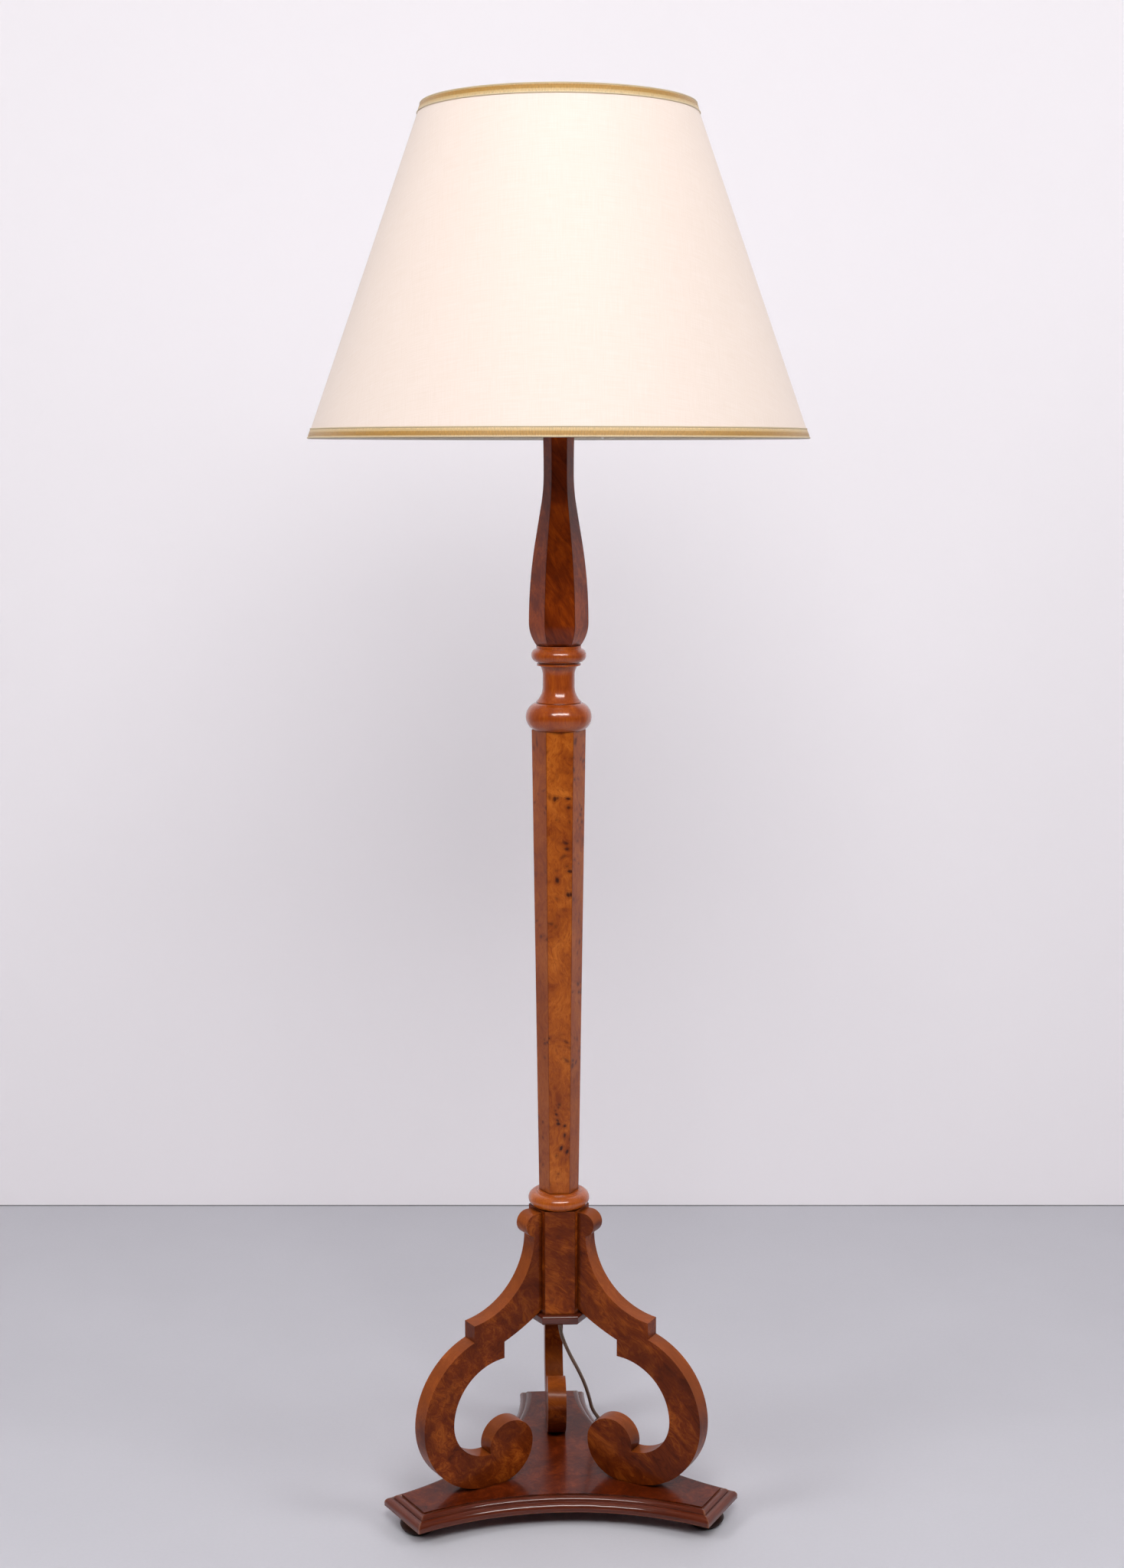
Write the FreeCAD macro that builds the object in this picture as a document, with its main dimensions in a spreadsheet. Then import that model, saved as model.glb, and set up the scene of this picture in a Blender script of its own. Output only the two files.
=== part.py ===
"""Floor lamp: a three-legged scroll base, a faceted wooden column and a conical fabric shade.

All lengths are millimetres. The origin is on the floor under the column's axis, +Z up,
the rear leg points along +Y and the lamp is seen from -Y.
"""
import FreeCAD, Part
import math
import os
from types import SimpleNamespace

from FreeCAD import Placement, Rotation, Vector

# name, value, what it sets
SIZES = [
    ("foot_height", 20.0, "bun foot under the moulding"),
    ("foot_radius", 23.0, "widest part of a foot"),
    ("foot_base_radius", 15.0, "standing face of a foot"),
    ("foot_neck_radius", 17.0, "top of a foot, under the board"),
    ("foot_inset", 24.0, "foot centre in from the arm's end"),
    ("spigot_radius", 6.0, "turned pin on a foot"),
    ("spigot_length", 12.0, "turned pin on a foot"),
    ("board_height", 17.0, "thickness of the base board"),
    ("side_arc_radius", 346.0, "outer edge of a hollow side"),
    ("side_waist_radius", 105.0, "middle of a hollow side from the axis"),
    ("end_radius", 230.0, "outer edge of an arm's end from the axis"),
    ("moulding_width", 16.4, "moulding round the board"),
    ("moulding_drop", 1.9, "step from the board down to the moulding"),
    ("bead_width", 7.8, "inner small round of the moulding"),
    ("bead_fall", 3.2, "height lost across the inner round"),
    ("quirk_depth", 1.0, "step between the two rounds"),
    ("nosing_flat", 2.2, "upright lower edge of the moulding"),
    ("leg_thickness", 24.0, "scroll board"),
    ("scroll_centre_radius", 112.0, "centre of the large scroll from the axis"),
    ("scroll_radius", 91.0, "outside of the large scroll"),
    ("scroll_width", 42.0, "width of the scroll band"),
    ("shoulder_radius", 110.2, "outside arc above the large scroll"),
    ("shoulder_axis_radius", 131.0, "outer shoulder from the axis"),
    ("shoulder_rise", 194.0, "lower edge of the outer shoulder above the board"),
    ("shoulder_step", 21.3, "height of both shoulders"),
    ("hollow_radius", 73.5, "inside arc above the large scroll"),
    ("inner_axis_radius", 88.0, "inner shoulder from the axis"),
    ("heel_axis_radius", 95.0, "where the flat of the leg ends"),
    ("heel_radius", 48.0, "arc from the flat to the curl"),
    ("curl_radius", 31.0, "small curl"),
    ("leg_neck_axis_radius", 44.0, "corner under the top roll"),
    ("leg_neck_drop", 14.4, "corner under the top roll below its centre"),
    ("roll_centre_radius", 40.3, "centre of the top roll"),
    ("roll_radius", 14.9, "top roll"),
    ("roll_drop", 18.1, "centre of the top roll below the block's top"),
    ("sweep_sagitta", 24.5, "hollow of the outside between roll and shoulder"),
    ("underside_sagitta", 1.8, "fullness of the inside below the block"),
    ("underside_rise", 5.0, "leg's lower corner above the bottom plate"),
    ("plate_height", 12.0, "bottom plate"),
    ("plate_radius", 45.0, "corner radius of the bottom plate"),
    ("plate_round", 3.4, "rounded edge of the bottom plate"),
    ("plate_rise", 199.5, "underside of the plate above the board"),
    ("block_height", 134.5, "six-sided leg block"),
    ("block_radius", 37.9, "corner radius of the leg block"),
    ("bore_radius", 8.0, "cable bore through the column"),
    ("dowel_radius", 4.0, "leg dowel"),
    ("dowel_length", 18.0, "leg dowel"),
    ("dowel_low", 46.0, "lower dowel above the block's foot"),
    ("dowel_centres_height", 42.0, "between the dowels of a leg"),
    ("wood_fit", 0.05, "clearance of glued and screwed joints"),
    ("screw_radius", 2.2, "wood screw"),
    ("screw_head_radius", 4.6, "wood screw head"),
    ("screw_head_height", 2.8, "wood screw head"),
    ("leg_screw_length", 42.0, "screw through the board into a leg"),
    ("plate_screw_length", 26.0, "screw through the plate into the block"),
    ("plate_screw_circle_radius", 22.0, "plate screw from the axis"),
    ("bush_radius", 7.0, "cable bush in the plate"),
    ("bush_flange_radius", 10.5, "cable bush below the plate"),
    ("bush_flange_height", 3.0, "cable bush below the plate"),
    ("collar_height", 19.5, "ring between block and shaft"),
    ("collar_radius", 38.5, "widest part of the ring"),
    ("collar_foot_radius", 32.0, "ring where it meets the block"),
    ("collar_top_radius", 28.6, "ring where its fillet starts"),
    ("collar_fillet_height", 1.6, "thin fillet on top of the ring"),
    ("collar_fillet_radius", 27.4, "thin fillet on top of the ring"),
    ("shaft_length", 584.3, "six-sided tapered shaft"),
    ("shaft_foot_radius", 25.0, "corner radius at the foot of the shaft"),
    ("shaft_top_radius", 33.3, "corner radius at the top of the shaft"),
    ("shaft_tenon_radius", 15.0, "round tenon under the shaft"),
    ("shaft_tenon_length", 60.0, "round tenon under the shaft"),
    ("neck_tenon_radius", 13.0, "tenons of the neck turning"),
    ("neck_tenon_length", 34.0, "tenons of the neck turning"),
    ("torus_height", 32.9, "large round of the neck"),
    ("torus_radius", 40.4, "large round of the neck"),
    ("torus_foot_radius", 31.5, "large round where it meets the shaft"),
    ("torus_top_radius", 28.9, "large round at its top"),
    ("neck_line_depth", 1.1, "cut line above the large round"),
    ("cove_height", 45.6, "hollow of the neck"),
    ("cove_radius", 19.6, "narrowest part of the neck"),
    ("cove_foot_radius", 28.0, "foot of the hollow"),
    ("cove_flare_height", 19.0, "spreading foot of the hollow"),
    ("cove_top_radius", 23.2, "top of the hollow"),
    ("cove_top_height", 12.0, "spreading top of the hollow"),
    ("band_height", 2.8, "thin band under the bead"),
    ("band_radius", 27.0, "thin band under the bead"),
    ("quirk_height", 1.8, "groove between band and bead"),
    ("quirk_radius", 25.4, "groove between band and bead"),
    ("bead_height", 16.2, "upper bead of the neck"),
    ("bead_radius", 33.6, "upper bead of the neck"),
    ("bead_end_radius", 28.4, "upper bead at its ends"),
    ("neck_fillet_height", 3.5, "fillet between bead and vase"),
    ("neck_fillet_radius", 27.4, "fillet between bead and vase"),
    ("vase_foot_radius", 27.0, "corner radius at the foot of the vase"),
    ("vase_belly_radius", 36.4, "widest corner radius of the vase"),
    ("vase_throat_radius", 18.3, "narrowest corner radius of the vase"),
    ("vase_top_radius", 19.6, "corner radius at the top of the vase"),
    ("vase_belly_rise", 27.9, "widest part above the foot of the vase"),
    ("vase_slope_foot_rise", 128.9, "start of the straight slope above the foot"),
    ("vase_slope_foot_radius", 28.0, "corner radius at the start of the slope"),
    ("vase_slope_top_rise", 168.9, "end of the straight slope above the foot"),
    ("vase_slope_top_radius", 21.4, "corner radius at the end of the slope"),
    ("vase_throat_rise", 206.9, "narrowest part above the foot of the vase"),
    ("vase_height", 279.9, "six-sided vase turning"),
    ("nipple_radius", 5.0, "threaded tube"),
    ("nipple_bore_radius", 3.6, "threaded tube"),
    ("nipple_length", 52.0, "threaded tube"),
    ("nipple_sunk", 30.0, "threaded tube inside the vase"),
    ("cup_radius", 17.0, "brass cup on the vase"),
    ("cup_height", 4.0, "brass cup on the vase"),
    ("nut_radius", 9.0, "corner radius of the lock nut"),
    ("nut_height", 4.0, "lock nut"),
    ("holder_radius", 19.9, "lampholder skirt"),
    ("holder_wall", 1.1, "lampholder shells"),
    ("holder_cap_height", 30.0, "lampholder cap"),
    ("holder_neck_radius", 11.0, "foot of the lampholder cap"),
    ("holder_skirt_height", 44.0, "lampholder skirt"),
    ("insert_height", 36.0, "insulating insert"),
    ("insert_floor", 8.0, "solid foot of the insert"),
    ("shell_radius", 14.6, "lamp socket's screw shell"),
    ("shell_wall", 1.2, "lamp socket's screw shell"),
    ("lamp_fit", 0.07, "running clearance of cap and key"),
    ("contact_thickness", 1.2, "centre contact"),
    ("key_rise", 17.0, "switch key above the cap's foot"),
    ("key_shaft_radius", 2.0, "switch spindle"),
    ("key_shaft_length", 22.0, "switch spindle"),
    ("key_length", 9.0, "switch key"),
    ("key_width", 13.0, "switch key"),
    ("key_thickness", 4.0, "switch key"),
    ("terminal_radius", 1.6, "terminal screw"),
    ("terminal_length", 6.0, "terminal screw"),
    ("ring_height", 5.0, "shade ring"),
    ("ring_radius", 26.0, "shade ring"),
    ("ring_rise", 12.0, "lower shade ring above the skirt's foot"),
    ("hub_height", 2.4, "hub of the shade carrier"),
    ("hub_radius", 28.0, "hub of the shade carrier"),
    ("shade_bottom", 1338.0, "lower edge of the shade above the floor"),
    ("shade_height", 387.0, "shade"),
    ("shade_foot_radius", 299.2, "outside of the panel at its lower edge"),
    ("shade_head_radius", 161.5, "outside of the panel at its upper edge"),
    ("panel_wall", 1.2, "shade panel"),
    ("trim_height", 11.5, "braid round the shade's edges"),
    ("trim_wall", 0.8, "braid round the shade's edges"),
    ("wire_radius", 1.9, "shade rings"),
    ("arm_radius", 1.9, "carrier arms"),
    ("bulb_cap_height", 24.0, "lamp cap"),
    ("bulb_cap_radius", 13.33, "lamp cap"),
    ("bulb_contact_radius", 5.0, "contact plate of the bulb"),
    ("bulb_contact_height", 2.4, "contact plate of the bulb"),
    ("bulb_radius", 30.0, "glass bulb"),
    ("bulb_height", 82.0, "glass bulb above its cap"),
    ("bulb_wall", 0.9, "glass bulb"),
    ("cord_width", 4.6, "flat twin cable"),
    ("cord_fit", 0.35, "cable in its bush"),
    ("coil_outer", 38.4, "outermost turn of the coil, to the cable's middle"),
    ("coil_pitch", 5.8, "from turn to turn"),
    ("coil_layer", 6.4, "from layer to layer"),
    ("coil_turns", 3.5, "turns in a layer"),
    ("coil_lift", 0.9, "cable above the floor inside the tie"),
    ("tie_wall", 0.5, "coil tie"),
    ("tie_width", 6.0, "coil tie"),
    ("plug_length", 36.0, "plug body"),
    ("plug_width", 35.3, "plug body"),
    ("plug_thickness", 13.7, "plug body"),
    ("plug_waist", 17.0, "plug body at the cable"),
    ("pin_radius", 2.0, "plug pin"),
    ("pin_length", 19.0, "plug pin"),
    ("pin_centres_width", 18.6, "between the plug pins"),
    ("overrun", 2.0, "how far a cutting tool runs past a face"),
]

# The cable's route off the coil, chosen by hand: from the bush down to the coil, and from the coil to the plug.
DROP_ROUTE = [
    (1.4, 1.0, 214.0),
    (7.2, 7.0, 194.5),
    (15.6, 18.0, 172.0),
    (26.6, 35.0, 145.5),
    (36.6, 55.0, 116.5),
    (43.8, 77.0, 87.0),
    (47.8, 93.0, 65.2),
    (56.6, 99.0, 49.7),
    (68.8, 97.0, 36.2),
    (84.1, 103.7, 23.7),
    (92.4, 119.6, 12.8),
    (91.2, 136.4, 6.0),
    (80.5, 154.5, 3.2),
]
TAIL_ROUTE = [
    (24.0, 102.4, 9.2),
    (28.8, 93.4, 8.2),
    (33.0, 83.6, 7.2),
    (39.0, 75.0, 6.85),
    (47.0, 69.0, 6.85),
]
COIL_CENTRE = (42.0, 139.0)
COIL_START_ANGLE = 44.0
TIE_ANGLE = 62.0
PLUG_HEADING = -37.0
LEG_ANGLES = (90.0, 210.0, 330.0)
LEG_NAMES = ("rear", "left", "right")
SIDE_ANGLES = (150.0, 270.0, 30.0)
FACET_ANGLES = (30.0, 90.0, 150.0)
ARM_ANGLES = (76.0, 196.0, 316.0)
TERMINAL_ANGLES = (90.0, 270.0)
BULB_WAIST_ANGLE = 50.0

# Shares of a form's own size: how full a round is, and where along a form a change comes
NOSE_BULGE_SHARE = 0.26
BEAD_BULGE_SHARE = 0.2
FOOT_BELLY_SHARE = 0.5
FOOT_NECK_SHARE = 0.86
FOOT_BULGE_SHARE = 0.15
CAP_SHOULDER_SHARE = 0.55
CAP_BULGE_SHARE = 0.12
CUP_BULGE_SHARE = 0.22
SMALL_ROUND_SHARE = 0.2
KEY_SIDE_BULGE_SHARE = 0.1
KEY_END_BULGE_SHARE = 0.16
CAP_FOOT_SHARE = 0.72
CAP_FOOT_BULGE_SHARE = 0.1
GLASS_NECK_BULGE_SHARE = 0.09
PLUG_NOSE_SHARE = 0.32
PLUG_BULGE_SHARE = 0.08
ROUTE_TRIM_SHARE = 0.45

UP = Vector(0, 0, 1)
ORIGIN = Vector(0, 0, 0)
NODES = []

doc = FreeCAD.newDocument("floor_lamp")
sheet = doc.addObject("Spreadsheet::Sheet", "Sizes")
for row, (name, value, note) in enumerate(SIZES, start=1):
    sheet.set(f"A{row}", name)
    sheet.set(f"B{row}", str(value))
    sheet.set(f"C{row}", note)
    sheet.setAlias(f"B{row}", name)
doc.recompute()
s = SimpleNamespace(**{name: float(getattr(sheet, name)) for name, value, note in SIZES})


def keep(feature, name):
    """Names a finished sub-part and lists it for export."""
    feature.Label = name
    NODES.append(feature)
    return feature


def polar(distance, angle, height=0.0):
    turn = math.radians(angle)
    return Vector(distance * math.cos(turn), distance * math.sin(turn), height)


def turned_about_axis(angle):
    return Placement(ORIGIN, Rotation(UP, angle))


def along(point, direction):
    """A placement whose Z axis runs along the direction."""
    return Placement(point, Rotation(UP, direction))


def new_body(name):
    return doc.addObject("PartDesign::Body", name + "_body")


def add_sketch(body, role, name, lift=0.0):
    sketch = body.newObject("Sketcher::SketchObject", name)
    plane = next(item for item in body.Origin.OriginFeatures if item.Role == role)
    sketch.AttachmentSupport = [(plane, "")]
    sketch.MapMode = "FlatFace"
    sketch.AttachmentOffset = Placement(Vector(0, 0, lift), Rotation())
    return sketch


def trace(sketch, outline):
    """Draws a closed outline. Each entry is x, y and the sagitta of the stretch that ends there,
    positive where it bulges to the right of the way round."""
    corners = [Vector(entry[0], entry[1], 0) for entry in outline]
    for index, end in enumerate(corners):
        start = corners[index - 1]
        sagitta = outline[index][2] if len(outline[index]) > 2 else 0.0
        if sagitta:
            run = end - start
            side = Vector(run.y, -run.x, 0).normalize()
            middle = (start + end) * 0.5 + side * sagitta
            sketch.addGeometry(Part.Arc(start, middle, end), False)
        else:
            sketch.addGeometry(Part.LineSegment(start, end), False)


def arc_sagitta(start, end, radius):
    """Sagitta of a shallow arc of this radius between two points."""
    half = math.hypot(end[0] - start[0], end[1] - start[1]) / 2
    return radius - math.sqrt(radius * radius - half * half)


def turned(name, outline):
    """A body revolved about Z from an outline of radius and height."""
    body = new_body(name)
    sketch = add_sketch(body, "XZ_Plane", name + "_profile")
    trace(sketch, outline)
    turning = body.newObject("PartDesign::Revolution", name + "_revolved")
    turning.Profile = sketch
    turning.ReferenceAxis = (sketch, ["V_Axis"])
    turning.Angle = 360.0
    sketch.Visibility = False
    body.Tip = turning
    return body


def board(name, role, outlines, length, lift=0.0, both_sides=False):
    """A body padded from one or more closed outlines; the length is an expression."""
    body = new_body(name)
    sketch = add_sketch(body, role, name + "_outline", lift)
    for outline in outlines:
        trace(sketch, outline)
    pad = body.newObject("PartDesign::Pad", name + "_pad")
    pad.Profile = sketch
    pad.setExpression("Length", length)
    if both_sides:
        pad.SideType = "Symmetric"
    body.Tip = pad
    return body


def cylinder(name, radius, height, placement):
    """A round tool or pin; radius and height are expressions."""
    pin = doc.addObject("Part::Cylinder", name)
    pin.setExpression("Radius", radius)
    pin.setExpression("Height", height)
    pin.Placement = placement
    return pin


def join(name, parts):
    group = doc.addObject("Part::MultiFuse", name)
    group.Shapes = parts
    return group


def cut(name, base, tools):
    result = doc.addObject("Part::Cut", name)
    result.Base = base
    result.Tool = tools[0] if len(tools) == 1 else join(name + "_tools", tools)
    return result


def compound(name, parts):
    group = doc.addObject("Part::Compound", name)
    group.Links = parts
    return group


def solid(name, shape):
    feature = doc.addObject("Part::Feature", name)
    feature.Shape = shape
    return feature


def hexagon(corner_radius):
    """Six corners with flats towards -Y and +Y."""
    return [tuple(polar(corner_radius, angle))[:2] for angle in range(0, 360, 60)]


# Levels up the column
board_foot = s.foot_height
board_top = board_foot + s.board_height
plate_foot = board_top + s.plate_rise
block_foot = plate_foot + s.plate_height
block_top = block_foot + s.block_height
shaft_foot = block_top + s.collar_height
shaft_top = shaft_foot + s.shaft_length
torus_top = shaft_top + s.torus_height
cove_top = torus_top + s.cove_height
band_top = cove_top + s.band_height
bead_foot = band_top + s.quirk_height
bead_top = bead_foot + s.bead_height
vase_foot = bead_top + s.neck_fillet_height
vase_top = vase_foot + s.vase_height
cup_top = vase_top + s.cup_height
skirt_foot = cup_top + s.holder_cap_height
flat_share = math.cos(math.radians(30))
block_flat = s.block_radius * flat_share
cord_radius = s.cord_width / 2
side_centre_distance = s.side_waist_radius + s.side_arc_radius
foot_distance = s.end_radius - s.foot_inset


def side_crossing(arc_radius, end_radius):
    """Half width of an arm where a hollow side of this radius meets the arm's end."""
    centre = polar(side_centre_distance, 30)
    rise = end_radius - centre.y
    return centre.x - math.sqrt(arc_radius ** 2 - rise ** 2)


def base_outline(inset):
    """Three hollow sides and three straight ends, drawn in by the inset."""
    arc_radius = s.side_arc_radius + inset
    end = s.end_radius - inset
    half = side_crossing(arc_radius, end)
    reach = math.hypot(half, end)
    spread = math.degrees(math.atan2(half, end))
    first_corner = polar(reach, 90 - spread)
    last_corner = polar(reach, -30 + spread)
    sagitta = -arc_sagitta(last_corner, first_corner, arc_radius)
    outline = []
    for angle in LEG_ANGLES:
        start = polar(reach, angle - spread)
        outline.append((start.x, start.y, sagitta))
        stop = polar(reach, angle + spread)
        outline.append((stop.x, stop.y))
    return outline


def moulding_section():
    """Distance outwards from the board's edge, and height."""
    top = board_top - s.moulding_drop
    bead_foot = top - s.bead_fall
    quirk = bead_foot - s.quirk_depth
    nose = board_foot + s.nosing_flat
    nose_run = s.moulding_width - s.bead_width
    nose_drop = quirk - nose
    return [
        (0.0, board_foot),
        (s.moulding_width, board_foot),
        (s.moulding_width, nose),
        (s.bead_width, quirk, NOSE_BULGE_SHARE * math.hypot(nose_run, nose_drop)),
        (s.bead_width, bead_foot),
        (s.quirk_depth, top, BEAD_BULGE_SHARE * s.bead_width),
        (0.0, top),
    ]


def make_base_panel():
    panel = board("base_panel", "XY_Plane", [base_outline(s.moulding_width)], "Sizes.board_height", board_foot)
    holes = []
    for name, angle in zip(LEG_NAMES, LEG_ANGLES):
        spot = polar(foot_distance, angle, board_foot - s.overrun)
        holes.append(cylinder("spigot_hole_" + name, "Sizes.spigot_radius + Sizes.wood_fit",
                              "Sizes.spigot_length + Sizes.overrun + Sizes.wood_fit",
                              Placement(spot, Rotation())))
        holes.append(leg_screw(name + "_panel_hole", angle, True))
    keep(cut("base_panel_drilled", panel, holes), "base_panel")


def side_wedge(name, angle):
    """A tall wedge about the axis, as wide as a side."""
    reach = 2 * s.end_radius
    half = reach * math.tan(math.radians(60))
    outline = [(0.0, 0.0), (reach, -half), (reach, half)]
    wedge = board(name, "XY_Plane", [outline], "Sizes.foot_height + 2 * Sizes.board_height")
    wedge.Placement = turned_about_axis(angle)
    return wedge


def mitre_line(inset):
    arc_radius = s.side_arc_radius + inset
    end = s.end_radius - inset
    return side_crossing(arc_radius, end), end


def end_region(name, angle):
    """The ground of an arm's end moulding: between the mitres, outside the board."""
    outer_half, outer_end = mitre_line(0.0)
    inner_half, inner_end = mitre_line(s.moulding_width)
    slope = (outer_half - inner_half) / (outer_end - inner_end)
    far = outer_end + s.overrun
    near = inner_end - s.overrun
    far_half = outer_half + slope * s.overrun
    near_half = inner_half - slope * s.overrun
    outline = [(near, -near_half), (far, -far_half), (far, far_half), (near, near_half)]
    region = board(name, "XY_Plane", [outline], "Sizes.foot_height + 2 * Sizes.board_height")
    region.Placement = turned_about_axis(angle)
    return region


def make_end_moulding(name, angle):
    """A straight moulding across the end of an arm, cut by its mitres."""
    section = [(s.end_radius - s.moulding_width + entry[0], *entry[1:]) for entry in moulding_section()]
    stick = board(name + "_stick", "XZ_Plane", [section], "2 * Sizes.end_radius", both_sides=True)
    stick.Placement = turned_about_axis(angle)
    mitred = doc.addObject("Part::Common", name + "_mitred")
    mitred.Base = stick
    mitred.Tool = end_region(name + "_mitres", angle)
    keep(mitred, name)


def make_side_moulding(name, angle, first_leg, last_leg):
    """A curved moulding along a hollow side, mitred against both ends."""
    arc_radius = s.side_arc_radius + s.moulding_width
    section = [(arc_radius - entry[0], entry[1], -entry[2]) if len(entry) > 2 else (arc_radius - entry[0], entry[1])
               for entry in moulding_section()]
    ring = turned(name + "_ring", section)
    ring.Placement = Placement(polar(side_centre_distance, angle), Rotation(UP, angle))
    span = doc.addObject("Part::Common", name + "_length")
    span.Base = ring
    span.Tool = side_wedge(name + "_span", angle)
    ends = [end_region(name + "_end_" + str(index), leg) for index, leg in enumerate((first_leg, last_leg))]
    limits = [arm_limit(name + "_limit_" + str(index), leg) for index, leg in enumerate((first_leg, last_leg))]
    keep(cut(name + "_mitred", span, ends + limits), name)


def arm_limit(name, angle):
    """Everything past an arm's end."""
    wide = s.side_arc_radius
    near = s.end_radius
    outline = [(near, -wide), (near + wide, -wide), (near + wide, wide), (near, wide)]
    limit = board(name, "XY_Plane", [outline], "Sizes.foot_height + 2 * Sizes.board_height")
    limit.Placement = turned_about_axis(angle)
    return limit


def make_foot(name, angle):
    belly = s.foot_height * FOOT_BELLY_SHARE
    neck = s.foot_height * FOOT_NECK_SHARE
    outline = [
        (0.0, 0.0),
        (s.foot_base_radius, 0.0),
        (s.foot_radius, belly, FOOT_BULGE_SHARE * belly),
        (s.foot_neck_radius, neck, FOOT_BULGE_SHARE * belly),
        (s.foot_neck_radius, s.foot_height),
        (s.spigot_radius, s.foot_height),
        (s.spigot_radius, s.foot_height + s.spigot_length),
        (0.0, s.foot_height + s.spigot_length),
    ]
    foot = turned(name, outline)
    foot.Placement = Placement(polar(foot_distance, angle), Rotation(UP, angle))
    keep(foot, name)


def circle_crossing(first, first_radius, second, second_radius):
    """The crossing of two circles that lies to the right of the line from first to second."""
    gap = math.hypot(second[0] - first[0], second[1] - first[1])
    along_line = (gap ** 2 + first_radius ** 2 - second_radius ** 2) / (2 * gap)
    aside = math.sqrt(first_radius ** 2 - along_line ** 2)
    ux = (second[0] - first[0]) / gap
    uy = (second[1] - first[1]) / gap
    return first[0] + along_line * ux + aside * uy, first[1] + along_line * uy - aside * ux


def quarter(start, centre, end, radius):
    """Sagitta of the shorter arc about a centre."""
    middle = ((start[0] + end[0]) / 2, (start[1] + end[1]) / 2)
    return radius - math.hypot(middle[0] - centre[0], middle[1] - centre[1])


def leg_outline():
    """The scroll board in radius and height, counter-clockwise from the flat on the base."""
    scroll = (s.scroll_centre_radius, board_top + s.scroll_radius)
    curl_left = (s.heel_axis_radius - s.heel_radius, board_top + s.heel_radius)
    curl = (curl_left[0] + s.curl_radius, curl_left[1])
    inside = s.scroll_radius - s.scroll_width
    cusp = circle_crossing(curl, s.curl_radius, scroll, inside)
    widest = (s.scroll_centre_radius + s.scroll_radius, scroll[1])
    shoulder_low = (s.shoulder_axis_radius, board_top + s.shoulder_rise)
    shoulder_high = (s.shoulder_axis_radius, shoulder_low[1] + s.shoulder_step)
    roll = (s.roll_centre_radius, block_top - s.roll_drop)
    neck = (s.leg_neck_axis_radius, roll[1] - s.leg_neck_drop)
    hollow_right = (s.scroll_centre_radius + inside, scroll[1])
    hollow_top = (s.inner_axis_radius, scroll[1] + s.hollow_radius)
    inner_high = (s.inner_axis_radius, hollow_top[1] + s.shoulder_step)
    underside = (block_flat, block_foot + s.underside_rise)
    curl_top = (curl[0], curl[1] + s.curl_radius)
    curl_cusp = quarter(cusp, curl, curl_top, s.curl_radius)
    cusp_run = quarter(cusp, scroll, hollow_right, inside)
    roll_top = (roll[0], roll[1] + s.roll_radius)
    roll_side = (roll[0] + s.roll_radius, roll[1])
    quarter_rise = 1 - math.sqrt(0.5)
    return [
        (s.scroll_centre_radius, board_top),
        (*widest, s.scroll_radius * quarter_rise),
        (*shoulder_low, arc_sagitta(widest, shoulder_low, s.shoulder_radius)),
        shoulder_high,
        (*neck, -s.sweep_sagitta),
        (*roll_side, quarter(neck, roll, roll_side, s.roll_radius)),
        (*roll_top, s.roll_radius * quarter_rise),
        (block_flat, roll_top[1]),
        underside,
        (*inner_high, s.underside_sagitta),
        hollow_top,
        (*hollow_right, -arc_sagitta(hollow_top, hollow_right, s.hollow_radius)),
        (*cusp, -cusp_run),
        (*curl_top, curl_cusp),
        (*curl_left, s.curl_radius * quarter_rise),
        (s.heel_axis_radius, board_top, s.heel_radius * quarter_rise),
    ]


def grown(size, loose):
    """The expression of a size, or of the hole for it."""
    return f"Sizes.{size} + Sizes.wood_fit" if loose else f"Sizes.{size}"


def wood_screw(name, length, spot, loose):
    """A screw up from a spot, or its hole when loose."""
    base = spot - UP * (s.wood_fit if loose else 0)
    ends = " + Sizes.wood_fit" if loose else ""
    shank = cylinder(name + "_shank", grown("screw_radius", loose), grown(length, loose) + ends,
                     Placement(base, Rotation()))
    head = doc.addObject("Part::Cone", name + "_head")
    head.setExpression("Radius1", grown("screw_head_radius", loose))
    head.setExpression("Radius2", grown("screw_radius", loose))
    head.setExpression("Height", "Sizes.screw_head_height")
    head.Placement = Placement(base, Rotation())
    return join(name, [shank, head])


def leg_screw(name, angle, loose):
    spot = polar((s.scroll_centre_radius + s.heel_axis_radius) / 2, angle, board_foot)
    return wood_screw(name, "leg_screw_length", spot, loose)


def dowel(name, angle, level, loose):
    clearance = s.wood_fit if loose else 0
    ends = " + Sizes.wood_fit" if loose else ""
    inner = block_flat - s.dowel_length / 2 - clearance
    return cylinder(name, grown("dowel_radius", loose), grown("dowel_length", loose) + ends,
                    along(polar(inner, angle, level), polar(1, angle)))


def dowel_levels():
    low = block_foot + s.dowel_low
    return low, low + s.dowel_centres_height


def make_legs():
    for name, angle in zip(LEG_NAMES, LEG_ANGLES):
        blank = board("leg_" + name + "_blank", "XZ_Plane", [leg_outline()], "Sizes.leg_thickness", both_sides=True)
        blank.Placement = turned_about_axis(angle)
        tools = [leg_screw(name + "_leg_hole", angle, True)]
        for index, level in enumerate(dowel_levels()):
            tools.append(dowel(f"{name}_leg_dowel_hole_{index}", angle, level, True))
        keep(cut("leg_" + name + "_drilled", blank, tools), "leg_" + name)
    screws = [leg_screw(name + "_leg_screw", angle, False)
              for name, angle in zip(LEG_NAMES, LEG_ANGLES)]
    keep(compound("leg_screw_group", screws), "leg_screws")
    dowels = [dowel(f"{name}_dowel_{index}", angle, level, False)
              for name, angle in zip(LEG_NAMES, LEG_ANGLES) for index, level in enumerate(dowel_levels())]
    keep(compound("leg_dowel_group", dowels), "leg_dowels")


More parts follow.
